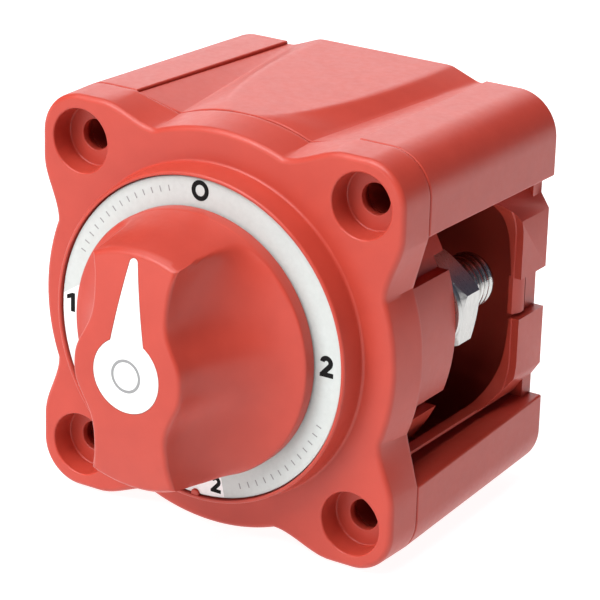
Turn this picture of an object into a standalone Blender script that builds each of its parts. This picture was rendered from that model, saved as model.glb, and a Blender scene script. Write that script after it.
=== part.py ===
"""Four-position marine battery selector switch with its isolating rear cover.

Metres, +Z up, knob facing -Y. The origin is the centre of the rear mounting
face. Every "depth" is measured back (+Y) from the face of the front plate,
so pieces that stand in front of the plate have negative depths.
"""
import math

import bmesh
import bpy
from mathutils import Matrix

NAME = "battery_selector_switch"

# Overall body
BODY_DEPTH = 0.0510          # front plate face to rear mounting face
HALF_WIDTH = 0.0348          # centre to the outside of a rail, at the seam
HALF_WIDTH_REAR = 0.0338     # the same at the rear face: moulding draft
CORNER_RADIUS = 0.0075
CLEARANCE = 0.0003           # gap between pieces that touch
HOLE_OFFSET = 0.02693        # mounting hole centre from the knob axis, x and z
HOLE_RADIUS = 0.0026
COUNTERBORE_RADIUS = 0.0054
COUNTERBORE_DEPTH = 0.0044
PAST = 0.001                 # cutters run past a face by this much

# Front housing
PLATE_DEPTH = 0.00775
PLATE_EDGE_ROUND = 0.0008
VALLEY_X = 0.0125            # where the round side meets the corner lobe
SHOULDER_X = 0.0212
COLLAR_RADIUS = 0.0283
COLLAR_EDGE_RADIUS = 0.0281   # just under its rounded top edge
COLLAR_TOP_RADIUS = 0.02785
COLLAR_RIM_RADIUS = 0.0274
COLLAR_TOP = -0.0049
COLLAR_FLOOR = -0.00335
CHAMBER_RADIUS = 0.0200
CHAMBER_DEPTH = -0.0010
SPIGOT_BORE_RADIUS = 0.0230
SPIGOT_BORE_DEPTH = 0.0024
SHAFT_BORE_RADIUS = 0.0065
SCREW_OFFSET = 0.0182        # housing screws from the axis, x and z
PILOT_RADIUS = 0.0012
PILOT_FLOOR = 0.0032
GASKET_OUTER = 0.0227
GASKET_INNER = 0.0209
GASKET_FRONT = 0.0027
GASKET_BACK = 0.0037
KEY_RADIUS = 0.0008          # key of the collar at six o'clock, in a notch of the label ring
KEY_OFFSET = 0.0271

# Label ring
RING_OUTER = 0.0271
RING_INNER = 0.0155
RING_FRONT = -0.00435
RING_BACK = -0.00365

# Knob
KNOB_RADIUS = 0.0224
KNOB_TIP_RADIUS = 0.0200
KNOB_BACK = -0.00465
KNOB_RIM_FRONT = -0.0072
KNOB_FRONT = -0.0242
KNOB_DOME = 5.7              # face falls back by this times z squared
GRIP_WAIST = 0.0069
GRIP_BULGE = 0.0034
GRIP_BULGE_REACH = 0.0064
GRIP_FLARE = 0.0015
GRIP_END = 0.0190
SCOOP_OVERRUN = 0.0012        # the scoops run this far past the rim
SOCKET_HALF = 0.0043
SOCKET_FLOOR = -0.0173
KNOB_SCREW_SEAT = -0.0195
KNOB_SCREW_POCKET = 0.0036
KNOB_SCREW_HEAD = 0.0032
KNOB_SCREW_HOLE = 0.0019
KNOB_SCREW_RADIUS = 0.0015
POINTER_HUB_RADIUS = 0.0062
POINTER_ROOT_HALF = 0.0031
POINTER_TIP_HALF = 0.0009
POINTER_LENGTH = 0.0192
POINTER_THICKNESS = 0.0010

# Rotor and contacts
STEM_RADIUS = 0.0062
STEM_HALF = 0.0040
ROTOR_RADIUS = 0.0194
BRIDGE_RADIUS = 0.0175
BRIDGE_HALF_ANGLE = math.radians(62)
POST_HALF = 0.0025
ROTOR_BACK = 0.0060
SEAL_FLOOR_RADIUS = 0.0050    # floor of the O-ring's groove
SEAL_DEPTH = -0.0022
SEAL_RADIUS = 0.00575
SEAL_WIRE = 0.00062
DETENT_RADIUS = 0.0150
DETENT_GROOVE = 0.0013
DETENT_NIB = 0.0009
DETENT_SPRING_OUTER = 0.0176
DETENT_SPRING_INNER = 0.0124
BRIDGE_FRONT = 0.0130
BRIDGE_BACK = 0.0152
BRIDGE_HUB_RADIUS = 0.0065

# Contact housing
BLOCK_RADIUS = 0.0319
BLOCK_BACK = 0.0229
SLOT_RADIUS = 0.0299         # floor of the slots beside each arm
SLOT_INNER = 0.0105
SLOT_OUTER = 0.01355
SPIGOT_RADIUS = 0.0227
DRUM_BORE = 0.0205
DRUM_FLOOR = 0.0180
SCREW_SEAT = 0.0120          # floor of the pockets for the housing screws
SCREW_POCKET_RADIUS = 0.0026
SCREW_HOLE_RADIUS = 0.0013
SCREW_HEAD_RADIUS = 0.0019
SCREW_HEAD_BACK = 0.0141
SCREW_SHANK_RADIUS = 0.00095
SCREW_SHANK_END = 0.0040

# Terminals
STUD_RADIUS = 0.00476
STUD_REACH = 0.0245
STUD_RISE = 0.0026
PAD_REACH = 0.0288           # contact pads end this far from the axis
PAD_THICKNESS = 0.0020
PAD_LOW = -0.0038
PAD_HIGH = 0.0088
COMMON_PAD_HALF = 0.0057
STUD_END = 0.0412
NUT_ACROSS_FLATS = 0.0155
NUT_HEIGHT = 0.0055
NUT_TURN = 22                # degrees from +X to the first corner
WASHER_RADIUS = 0.0080
WASHER_THICKNESS = 0.0010
NUT_CHAMFER = 0.0007

# Rear cover and panels
RAIL_GAP_FRONT = 0.02125     # half the gap between two rails
RAIL_GAP_REAR = 0.0198
SIDE_FACE = 0.0302
COVER_BORE = 0.0326
COVER_BORE_END = 0.0415
COVER_REAR_BORE = 0.0295
COVER_FLOOR = 0.0485
RAIL_BORE = 0.0036           # wider than the screw's hole, up to the rear wall
RAIL_BORE_END = 0.0480
WINDOW_HALF = 0.0183
WINDOW_BACK = 0.0424
WINDOW_CORNER = 0.0073
RIM_FRONT = 0.0350
RIM_FACE = 0.0331
RIM_FLAT_HALF = 0.0140
RIM_FOOT_HALF = 0.0184
END_FACE = 0.0315            # side of the wall that closes the channels at the back
END_FRONT = 0.0480
NOTCH_HALF = 0.0036
NOTCH_FACE = 0.0313
CHANNEL_INNER = 0.01855      # channels beside the rails, for the skirts of a panel
CHANNEL_FLOOR = 0.0275
PANEL_THICKNESS = 0.00115
PANEL_LIP_THICKNESS = 0.0009  # where it lies over the rear rim
PANEL_SKIRT = 0.0012
PANEL_SKIRT_FOOT = 0.0305
PANEL_SKIRT_END = 0.0395
PANEL_RIDGE_REAR = 0.03535
PANEL_FOOT_REAR = 0.0333

ROUND = 48                   # facets round a large circle
SMALL_ROUND = 28             # facets round a small circle


# ---------------------------------------------------------------- helpers

def clear_scene():
    for obj in list(bpy.data.objects):
        bpy.data.objects.remove(obj, do_unlink=True)


def make_collection(name):
    collection = bpy.data.collections.new(name)
    bpy.context.scene.collection.children.link(collection)
    return collection


def make_material(name, colour, roughness, metallic=0.0):
    material = bpy.data.materials.new(name)
    material.use_nodes = True
    shader = material.node_tree.nodes["Principled BSDF"]
    shader.inputs["Base Color"].default_value = (*colour, 1.0)
    shader.inputs["Roughness"].default_value = roughness
    shader.inputs["Metallic"].default_value = metallic
    return material


def from_bmesh(bm, name, collection, material=None):
    bmesh.ops.recalc_face_normals(bm, faces=bm.faces)
    mesh = bpy.data.meshes.new(name)
    bm.to_mesh(mesh)
    bm.free()
    obj = bpy.data.objects.new(name, mesh)
    collection.objects.link(obj)
    if material is not None:
        mesh.materials.append(material)
    return obj


def plane_y(depth):
    return depth - BODY_DEPTH


def add_cylinder(bm, radius, front, back, x=0.0, z=0.0, sides=ROUND):
    """Cylinder along Y between two depths."""
    place = Matrix.Translation((x, plane_y((front + back) / 2), z))
    turn = Matrix.Rotation(math.pi / 2, 4, "X")
    bmesh.ops.create_cone(
        bm, cap_ends=True, segments=sides, radius1=radius, radius2=radius,
        depth=back - front, matrix=place @ turn)


def add_box(bm, low, high):
    """Box between two corners given as (x, depth, z)."""
    size = [b - a for a, b in zip(low, high)]
    middle = [(a + b) / 2 for a, b in zip(low, high)]
    middle[1] = plane_y(middle[1])
    matrix = Matrix.Translation(middle) @ Matrix.Diagonal((*size, 1.0))
    bmesh.ops.create_cube(bm, size=1.0, matrix=matrix)


def add_loft(bm, rings):
    """Closed solid through rings of (x, y, z) points, flat faces at both ends."""
    loops = [[bm.verts.new(point) for point in ring] for ring in rings]
    for one, two in zip(loops, loops[1:]):
        count = len(one)
        for i in range(count):
            j = (i + 1) % count
            bm.faces.new((one[i], one[j], two[j], two[i]))
    bm.faces.new(list(reversed(loops[0])))
    bm.faces.new(loops[-1])
    return loops


def add_prism(bm, outline, front, back):
    """Outline of (x, z) points carried between two depths."""
    rings = []
    for depth in (front, back):
        rings.append([(x, plane_y(depth), z) for x, z in outline])
    return add_loft(bm, rings)


def quarter_turns(bm, build):
    """Runs build(bm) for each of the four sides."""
    for step in range(4):
        known = set(bm.verts)
        build(bm)
        fresh = [v for v in bm.verts if v not in known]
        turn = Matrix.Rotation(step * math.pi / 2, 3, "Y")
        bmesh.ops.rotate(bm, verts=fresh, cent=(0, 0, 0), matrix=turn)


def boolean(target, tool, operation):
    modifier = target.modifiers.new(operation.lower(), "BOOLEAN")
    modifier.operation = operation
    modifier.object = tool
    modifier.solver = "EXACT"


def cut(target, tool):
    boolean(target, tool, "DIFFERENCE")


def join(target, tool):
    boolean(target, tool, "UNION")


def shade(obj, angle=35):
    obj.data.shade_smooth()
    obj.data.set_sharp_from_angle(angle=math.radians(angle))


def arc(cx, cz, radius, start, end, steps):
    """Points on an arc; angles in degrees from +X towards +Z."""
    points = []
    for i in range(steps + 1):
        angle = math.radians(start + (end - start) * i / steps)
        points.append((cx + radius * math.cos(angle), cz + radius * math.sin(angle)))
    return points


def lerp(a, b, share):
    return a + (b - a) * share


def fourfold(octant):
    """Closed outline from the points between the top (90 degrees) and 45 degrees."""
    mirrored = [(z, x) for x, z in reversed(octant)]
    quarter = octant + [p for p in mirrored if math.dist(p, octant[-1]) > 1e-6]
    quarter = quarter[:-1]
    outline = []
    for _ in range(4):
        outline += quarter
        quarter = [(z, -x) for x, z in quarter]
    return outline


# ---------------------------------------------------------- front housing

def plate_outline(inset=0.0):
    """Round side bulges with a lobe at each corner."""
    radius = HALF_WIDTH - inset
    valley = math.degrees(math.asin(VALLEY_X / radius))
    centre = HALF_WIDTH - CORNER_RADIUS
    octant = arc(0, 0, radius, 90, 90 - valley, 7)
    octant += [(SHOULDER_X - 0.0017, radius - 0.0004), (SHOULDER_X, radius)]
    octant += arc(centre, centre, CORNER_RADIUS - inset, 90, 45, 5)
    return fourfold(octant)


def build_front_housing(parts, tools, material):
    bm = bmesh.new()
    rings = []
    rounding = ((0.0008, 0.0), (0.00024, 0.00024), (0.0, 0.0008), (0.0, PLATE_DEPTH))
    for inset, depth in rounding:
        rings.append([(x, plane_y(depth), z) for x, z in plate_outline(inset)])
    add_loft(bm, rings)
    housing = from_bmesh(bm, "front_housing", parts, material)

    collar = bmesh.new()
    profile = ((COLLAR_RADIUS, 0.0010), (COLLAR_RADIUS, 0.0),
               (COLLAR_EDGE_RADIUS, COLLAR_TOP + 0.0005), (COLLAR_TOP_RADIUS, COLLAR_TOP))
    circles = []
    for radius, depth in profile:
        circles.append([(x, plane_y(depth), z)
                        for x, z in arc(0, 0, radius, 0, 360, 72)[:-1]])
    add_loft(collar, circles)
    join(housing, from_bmesh(collar, "collar_blank", tools))

    bores = bmesh.new()
    add_cylinder(bores, COLLAR_RIM_RADIUS, COLLAR_TOP - PAST, COLLAR_FLOOR, sides=72)
    cut(housing, from_bmesh(bores, "collar_recess", tools))
    bores = bmesh.new()
    add_cylinder(bores, SPIGOT_BORE_RADIUS, SPIGOT_BORE_DEPTH, PLATE_DEPTH + PAST)
    cut(housing, from_bmesh(bores, "spigot_bore", tools))
    bores = bmesh.new()
    add_cylinder(bores, CHAMBER_RADIUS, CHAMBER_DEPTH, SPIGOT_BORE_DEPTH + PAST)
    cut(housing, from_bmesh(bores, "rotor_chamber", tools))
    bores = bmesh.new()
    add_cylinder(bores, SHAFT_BORE_RADIUS, COLLAR_FLOOR - PAST, CHAMBER_DEPTH + PAST)
    cut(housing, from_bmesh(bores, "shaft_bore", tools))
    key = bmesh.new()
    add_cylinder(key, KEY_RADIUS, COLLAR_TOP + CLEARANCE, COLLAR_FLOOR + CLEARANCE, z=-KEY_OFFSET,
                 sides=SMALL_ROUND)
    join(housing, from_bmesh(key, "collar_key", tools))
    cut(housing, counterbores(tools))
    cut(housing, screw_pilots(tools))
    shade(housing)
    return housing


def corners():
    return [(sx, sz) for sx in (-1, 1) for sz in (-1, 1)]


def counterbores(tools):
    bm = bmesh.new()
    for sx, sz in corners():
        steps = ((COUNTERBORE_RADIUS, -0.001), (COUNTERBORE_RADIUS, COUNTERBORE_DEPTH),
                 (HOLE_RADIUS, COUNTERBORE_DEPTH), (HOLE_RADIUS, PLATE_DEPTH + PAST))
        rings = []
        for radius, depth in steps:
            circle = arc(sx * HOLE_OFFSET, sz * HOLE_OFFSET, radius, 0, 360, SMALL_ROUND)
            rings.append([(x, plane_y(depth), z) for x, z in circle[:-1]])
        add_loft(bm, rings)
    return from_bmesh(bm, "counterbores", tools)


def screw_pilots(tools):
    bm = bmesh.new()
    for sx, sz in corners():
        add_cylinder(bm, PILOT_RADIUS, PILOT_FLOOR, PLATE_DEPTH + PAST,
                     sx * SCREW_OFFSET, sz * SCREW_OFFSET, 16)
    return from_bmesh(bm, "screw_pilots", tools)


def build_label_ring(parts, tools, material):
    bm = bmesh.new()
    add_cylinder(bm, RING_OUTER, RING_FRONT, RING_BACK, sides=72)
    ring = from_bmesh(bm, "label_ring", parts, material)
    bore = bmesh.new()
    add_cylinder(bore, RING_INNER, RING_FRONT - PAST, RING_BACK + PAST)
    cut(ring, from_bmesh(bore, "ring_bore", tools))
    notch = bmesh.new()
    add_cylinder(notch, KEY_RADIUS + CLEARANCE, RING_FRONT - PAST, RING_BACK + PAST,
                 z=-KEY_OFFSET, sides=SMALL_ROUND)
    cut(ring, from_bmesh(notch, "ring_notch", tools))
    return ring


def build_gasket(parts, tools, material):
    bm = bmesh.new()
    add_cylinder(bm, GASKET_OUTER, GASKET_FRONT, GASKET_BACK)
    gasket = from_bmesh(bm, "housing_gasket", parts, material)
    bore = bmesh.new()
    add_cylinder(bore, GASKET_INNER, GASKET_FRONT - PAST, GASKET_BACK + PAST)
    cut(gasket, from_bmesh(bore, "gasket_bore", tools))
    return gasket


# ------------------------------------------------------------------- knob

def grip_half_width(z):
    bulge = GRIP_BULGE * math.exp(-(abs(z) / GRIP_BULGE_REACH) ** 2.6)
    flare = GRIP_FLARE * (abs(z) / GRIP_END) ** 6
    return GRIP_WAIST + bulge + flare


def face_depth(z):
    return KNOB_FRONT + KNOB_DOME * z * z


def knob_point(angle, rise):
    """Point of the knob's skin; rise runs from 0 at its rim to 1 at its face."""
    across = abs(math.cos(angle))
    along = abs(math.sin(angle))
    low, high = 0.0, KNOB_RADIUS
    for _ in range(30):
        radius = (low + high) / 2
        z = radius * along
        limit = scoop_half_width(z, rise)
        if radius * across < limit:
            low = radius
        else:
            high = radius
    skin = KNOB_RADIUS + (KNOB_TIP_RADIUS - KNOB_RADIUS) * rise
    soft = 0.0006
    gap = math.sqrt((skin - low) ** 2 + soft * soft)
    radius = (skin + low - gap) / 2
    z = radius * math.sin(angle)
    depth = KNOB_RIM_FRONT + (face_depth(z) - KNOB_RIM_FRONT) * rise
    return (radius * math.cos(angle), plane_y(depth), z)


def scoop_half_width(z, rise):
    """Half width of the grip at height z: a quarter ellipse from rim to face."""
    narrow = grip_half_width(z)
    spread = math.sqrt(max(KNOB_RADIUS ** 2 - z * z, 0.0)) + SCOOP_OVERRUN - narrow
    return narrow + max(spread, 0.0) * (1 - math.sqrt(1 - (1 - rise) ** 2))


def build_knob(parts, tools, material):
    sides = 72
    angles = [2 * math.pi * i / sides for i in range(sides)]
    rings = []
    for depth in (KNOB_BACK, KNOB_RIM_FRONT):
        rings.append([(KNOB_RADIUS * math.cos(a), plane_y(depth), KNOB_RADIUS * math.sin(a))
                      for a in angles])
    for rise in (0.01, 0.05, 0.12, 0.22, 0.35, 0.5, 0.7, 0.96):
        rings.append([knob_point(a, rise) for a in angles])
    edge = [knob_point(a, 1.0) for a in angles]
    for scale in (0.975, 0.6, 0.3, 0.05):
        ring = []
        for x, _, z in edge:
            ring.append((x * scale, plane_y(face_depth(z * scale)), z * scale))
        rings.append(ring)
    bm = bmesh.new()
    add_loft(bm, rings)
    knob = from_bmesh(bm, "knob", parts, material)

    socket = bmesh.new()
    add_box(socket, (-SOCKET_HALF, SOCKET_FLOOR, -SOCKET_HALF),
            (SOCKET_HALF, KNOB_BACK + PAST, SOCKET_HALF))
    cut(knob, from_bmesh(socket, "stem_socket", tools))
    head = bmesh.new()
    add_cylinder(head, KNOB_SCREW_POCKET, KNOB_FRONT, KNOB_SCREW_SEAT, sides=SMALL_ROUND)
    cut(knob, from_bmesh(head, "screw_head_pocket", tools))
    shank = bmesh.new()
    add_cylinder(shank, KNOB_SCREW_HOLE, KNOB_SCREW_SEAT - PAST, SOCKET_FLOOR + PAST,
                 sides=SMALL_ROUND)
    cut(knob, from_bmesh(shank, "screw_clearance", tools))
    pocket = pointer_blank("pointer_pocket", 0.0002, -0.0020, 0.0013, tools, tools)
    cut(knob, pocket)
    shade(knob, 40)
    return knob


def pointer_outline(grow=0.0):
    """Round hub with a tapered finger that ends in a small round tip."""
    root = POINTER_ROOT_HALF + grow
    hub = POINTER_HUB_RADIUS + grow
    start = math.degrees(math.acos(root / hub))
    points = arc(0, 0, hub, start, start - 360 + 2 * (90 - start), 30)
    tip = POINTER_TIP_HALF + grow
    tip_z = POINTER_LENGTH - POINTER_TIP_HALF
    for share in (0.25, 0.5, 0.75):
        half = root + (tip - root) * share
        points.append((-half, hub + (tip_z - hub) * share))
    points += arc(0, tip_z, tip, 180, 0, 6)
    for share in (0.75, 0.5, 0.25):
        half = root + (tip - root) * share
        points.append((half, hub + (tip_z - hub) * share))
    return points


def pointer_blank(name, grow, front, back, owner, tools, material=None):
    """Pointer outline between two depths below the domed face of the knob."""
    bm = bmesh.new()
    add_prism(bm, pointer_outline(grow), KNOB_FRONT - 0.003, KNOB_FRONT + 0.006)
    blank = from_bmesh(bm, name, owner, material)
    steps = 14
    curve = [lerp(-0.021, 0.021, i / steps) for i in range(steps + 1)]
    rings = []
    for x in (-0.010, 0.010):
        ring = [(x, plane_y(face_depth(z) + front), z) for z in curve]
        ring += [(x, plane_y(face_depth(z) + back), z) for z in reversed(curve)]
        rings.append(ring)
    slab = bmesh.new()
    add_loft(slab, rings)
    boolean(blank, from_bmesh(slab, name + "_slab", tools), "INTERSECT")
    return blank


def build_pointer(parts, tools, material):
    return pointer_blank("knob_pointer", 0.0, 0.0, POINTER_THICKNESS, parts, tools, material)


def build_knob_screw(parts, tools, material):
    bm = bmesh.new()
    add_cylinder(bm, KNOB_SCREW_HEAD, -0.0226, KNOB_SCREW_SEAT - CLEARANCE, sides=SMALL_ROUND)
    screw = from_bmesh(bm, "knob_screw", parts, material)
    shank = bmesh.new()
    add_cylinder(shank, KNOB_SCREW_RADIUS, KNOB_SCREW_SEAT - PAST, -0.0092, sides=20)
    join(screw, from_bmesh(shank, "knob_screw_shank", tools))
    slot = bmesh.new()
    add_box(slot, (-0.0022, -0.0235, -0.0004), (0.0022, -0.0217, 0.0004))
    cut(screw, from_bmesh(slot, "knob_screw_slot", tools))
    return screw


# ------------------------------------------------------ rotor and contacts

def build_rotor(parts, tools, material):
    bm = bmesh.new()
    add_cylinder(bm, ROTOR_RADIUS, 0.0, ROTOR_BACK)
    rotor = from_bmesh(bm, "rotor", parts, material)
    stem = bmesh.new()
    add_cylinder(stem, STEM_RADIUS, -0.0043, 0.0010)
    join(rotor, from_bmesh(stem, "rotor_stem", tools))
    groove = bmesh.new()
    add_cylinder(groove, STEM_RADIUS + PAST, SEAL_DEPTH - 0.0009, SEAL_DEPTH + 0.0009)
    core = bmesh.new()
    add_cylinder(core, SEAL_FLOOR_RADIUS, SEAL_DEPTH - 0.0019, SEAL_DEPTH + 0.0019)
    groove = from_bmesh(groove, "seal_groove", tools)
    cut(groove, from_bmesh(core, "seal_groove_core", tools))
    cut(rotor, groove)
    square = bmesh.new()
    add_box(square, (-STEM_HALF, -0.0170, -STEM_HALF), (STEM_HALF, -0.0040, STEM_HALF))
    join(rotor, from_bmesh(square, "rotor_square", tools))
    post = bmesh.new()
    add_box(post, (-POST_HALF, ROTOR_BACK - PAST, -POST_HALF),
            (POST_HALF, BRIDGE_BACK + CLEARANCE, POST_HALF))
    join(rotor, from_bmesh(post, "rotor_post", tools))
    bore = bmesh.new()
    add_cylinder(bore, 0.0018, -0.0180, -0.0088, sides=20)
    cut(rotor, from_bmesh(bore, "rotor_screw_bore", tools))
    notches = bmesh.new()
    quarter_turns(notches, add_detent_notch)
    cut(rotor, from_bmesh(notches, "detent_notches", tools))
    return rotor


def add_detent_notch(bm):
    """Half-round groove across the rotor's front face, at the top."""
    matrix = Matrix.Translation((0, plane_y(0.0), DETENT_RADIUS))
    bmesh.ops.create_cone(bm, cap_ends=True, segments=16, radius1=DETENT_GROOVE,
                          radius2=DETENT_GROOVE, depth=0.0060, matrix=matrix)


def build_detent_spring(parts, tools, material):
    bm = bmesh.new()
    add_cylinder(bm, DETENT_SPRING_OUTER, -0.0007, -CLEARANCE)
    spring = from_bmesh(bm, "detent_spring", parts, material)
    bore = bmesh.new()
    add_cylinder(bore, DETENT_SPRING_INNER, -0.0007 - PAST, PAST)
    cut(spring, from_bmesh(bore, "detent_spring_bore", tools))
    nibs = bmesh.new()
    for side in (-1, 1):
        matrix = Matrix.Translation((0, plane_y(-CLEARANCE), side * DETENT_RADIUS))
        bmesh.ops.create_cone(nibs, cap_ends=True, segments=16, radius1=DETENT_NIB,
                              radius2=DETENT_NIB, depth=0.0036, matrix=matrix)
    front = bmesh.new()
    add_box(front, (-0.003, -0.0030, -0.020), (0.003, -0.0007, 0.020))
    nibs = from_bmesh(nibs, "detent_nibs", tools)
    cut(nibs, from_bmesh(front, "detent_nib_trim", tools))
    join(spring, nibs)
    return spring


def build_o_ring(parts, material):
    bpy.ops.mesh.primitive_torus_add(
        location=(0, plane_y(SEAL_DEPTH), 0), rotation=(math.pi / 2, 0, 0),
        major_segments=36, minor_segments=10, major_radius=SEAL_RADIUS, minor_radius=SEAL_WIRE)
    ring = bpy.context.active_object
    for collection in list(ring.users_collection):
        collection.objects.unlink(ring)
    ring.name = "shaft_o_ring"
    ring.data.name = "shaft_o_ring"
    parts.objects.link(ring)
    ring.data.materials.append(material)
    shade(ring)
    return ring


def build_bridge(parts, tools, material):
    """Copper sector that joins the contacts, with a hub on the rotor's post."""
    spread = math.degrees(BRIDGE_HALF_ANGLE)
    outline = arc(0, 0, BRIDGE_RADIUS, 90 - spread, 90 + spread, 24)
    hub_edge = 90 + spread
    outline += arc(0, 0, BRIDGE_HUB_RADIUS, hub_edge, hub_edge + 360 - 2 * spread, 20)
    bm = bmesh.new()
    add_prism(bm, outline, BRIDGE_FRONT, BRIDGE_BACK)
    bridge = from_bmesh(bm, "contact_bridge", parts, material)
    hole = bmesh.new()
    side = POST_HALF + CLEARANCE
    add_box(hole, (-side, BRIDGE_FRONT - PAST, -side), (side, BRIDGE_BACK + PAST, side))
    cut(bridge, from_bmesh(hole, "bridge_hole", tools))
    return bridge


def build_contact_spring(parts, material):
    """Compression spring round the rotor's post, pressing the bridge back."""
    coil_radius = 0.0048
    wire_radius = 0.0005
    front = 0.0060 + CLEARANCE + wire_radius
    back = 0.0130 - CLEARANCE - wire_radius
    turns = 3
    steps = turns * 16
    curve = bpy.data.curves.new("contact_spring", "CURVE")
    curve.dimensions = "3D"
    curve.bevel_depth = wire_radius
    curve.bevel_resolution = 1
    curve.use_fill_caps = True
    spline = curve.splines.new("POLY")
    spline.points.add(steps)
    for i, point in enumerate(spline.points):
        angle = 2 * math.pi * turns * i / steps
        depth = front + (back - front) * i / steps
        point.co = (coil_radius * math.cos(angle), plane_y(depth),
                    coil_radius * math.sin(angle), 1.0)
    spring = bpy.data.objects.new("contact_spring", curve)
    parts.objects.link(spring)
    curve.materials.append(material)
    return spring


# --------------------------------------------------------- contact housing

def angle_at(across, radius):
    """Angle on a circle, from +X, of the point that is this far across from +Z."""
    return 90 - math.degrees(math.asin(across / radius))


def block_outline():
    """Round block with a pair of slots beside the arm on each of its four sides."""
    octant = arc(0, 0, BLOCK_RADIUS, 90, angle_at(SLOT_INNER, BLOCK_RADIUS), 5)
    octant += arc(0, 0, SLOT_RADIUS, angle_at(SLOT_INNER, SLOT_RADIUS),
                  angle_at(SLOT_OUTER, SLOT_RADIUS), 1)
    octant += arc(0, 0, BLOCK_RADIUS, angle_at(SLOT_OUTER, BLOCK_RADIUS), 45, 4)
    return fourfold(octant)


def build_contact_housing(parts, tools, material):
    bm = bmesh.new()
    add_prism(bm, block_outline(), PLATE_DEPTH + CLEARANCE, BLOCK_BACK)
    housing = from_bmesh(bm, "contact_housing", parts, material)
    spigot = bmesh.new()
    add_cylinder(spigot, SPIGOT_RADIUS, 0.0040, 0.0100)
    join(housing, from_bmesh(spigot, "housing_spigot", tools))

    bore = bmesh.new()
    add_cylinder(bore, DRUM_BORE, 0.0030, DRUM_FLOOR)
    cut(housing, from_bmesh(bore, "drum_bore", tools))
    slots = bmesh.new()
    for side in (-1, 1):
        low_x, high_x = sorted((side * DRUM_BORE * 0.75, side * (PAD_REACH + CLEARANCE)))
        add_box(slots, (low_x, 0.0070, PAD_LOW - CLEARANCE),
                (high_x, DRUM_FLOOR, PAD_HIGH + CLEARANCE))
    add_box(slots, (-COMMON_PAD_HALF - CLEARANCE, 0.0070, -PAD_REACH - CLEARANCE),
            (COMMON_PAD_HALF + CLEARANCE, DRUM_FLOOR, -DRUM_BORE * 0.75))
    cut(housing, from_bmesh(slots, "terminal_slots", tools))
    holes = bmesh.new()
    for _, x, z in terminals():
        add_cylinder(holes, STUD_RADIUS + CLEARANCE, DRUM_FLOOR - PAST, BLOCK_BACK + PAST,
                     x, z, SMALL_ROUND)
    cut(housing, from_bmesh(holes, "stud_holes", tools))
    pockets = bmesh.new()
    for sx, sz in corners():
        add_cylinder(pockets, SCREW_HOLE_RADIUS, PLATE_DEPTH - PAST, SCREW_SEAT + PAST,
                     sx * SCREW_OFFSET, sz * SCREW_OFFSET, 16)
    cut(housing, from_bmesh(pockets, "screw_holes", tools))
    pockets = bmesh.new()
    for sx, sz in corners():
        add_cylinder(pockets, SCREW_POCKET_RADIUS, SCREW_SEAT, BLOCK_BACK + PAST,
                     sx * SCREW_OFFSET, sz * SCREW_OFFSET, SMALL_ROUND)
    cut(housing, from_bmesh(pockets, "screw_pockets", tools))
    shade(housing)
    return housing


def terminals():
    return (("1", -STUD_REACH, STUD_RISE), ("2", STUD_REACH, STUD_RISE),
            ("common", 0.0, -STUD_REACH))


def build_stud(label, x, z, parts, tools, material):
    """Copper contact pad inside the housing with a threaded post through its wall."""
    back = DRUM_FLOOR - CLEARANCE
    front = back - PAD_THICKNESS
    bm = bmesh.new()
    if label == "common":
        add_box(bm, (-COMMON_PAD_HALF, front, -PAD_REACH), (COMMON_PAD_HALF, back, 0.0030))
    else:
        side = 1 if x > 0 else -1
        low_x, high_x = sorted((side * 0.0120, side * PAD_REACH))
        add_box(bm, (low_x, front, PAD_LOW), (high_x, back, PAD_HIGH))
    stud = from_bmesh(bm, "stud_" + label, parts, material)
    if label != "common":
        foot = bmesh.new()
        low_x, high_x = sorted((side * 0.0085, side * 0.0160))
        add_box(foot, (low_x, front, -0.0105), (high_x, back, -0.0030))
        join(stud, from_bmesh(foot, "stud_foot_" + label, tools))
    post = bmesh.new()
    add_cylinder(post, STUD_RADIUS, back - 0.0005, STUD_END, x, z, SMALL_ROUND)
    join(stud, from_bmesh(post, "stud_post_" + label, tools))
    shade(stud)
    return stud


def build_washer(label, x, z, parts, tools, material):
    front = BLOCK_BACK + CLEARANCE
    bm = bmesh.new()
    add_cylinder(bm, WASHER_RADIUS, front, front + WASHER_THICKNESS, x, z, 36)
    washer = from_bmesh(bm, "washer_" + label, parts, material)
    hole = bmesh.new()
    add_cylinder(hole, STUD_RADIUS + CLEARANCE, front - PAST, front + 0.004, x, z,
                 SMALL_ROUND)
    cut(washer, from_bmesh(hole, "washer_hole_" + label, tools))
    shade(washer)
    return washer


def build_nut(label, x, z, parts, tools, material):
    """Hexagon nut, tightened with one flat near its window."""
    front = BLOCK_BACK + WASHER_THICKNESS + 2 * CLEARANCE
    corner = NUT_ACROSS_FLATS / math.sqrt(3)
    slope = NUT_CHAMFER * 0.6
    rings = []
    for shrink, depth in ((NUT_CHAMFER, 0.0), (0.0, slope), (0.0, NUT_HEIGHT - slope),
                          (NUT_CHAMFER, NUT_HEIGHT)):
        outline = arc(x, z, corner - shrink, NUT_TURN, NUT_TURN + 360, 6)[:-1]
        rings.append([(px, plane_y(front + depth), pz) for px, pz in outline])
    bm = bmesh.new()
    add_loft(bm, rings)
    nut = from_bmesh(bm, "nut_" + label, parts, material)
    hole = bmesh.new()
    add_cylinder(hole, STUD_RADIUS + CLEARANCE, front - PAST, front + 0.010, x, z,
                 SMALL_ROUND)
    cut(nut, from_bmesh(hole, "nut_hole_" + label, tools))
    return nut


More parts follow.
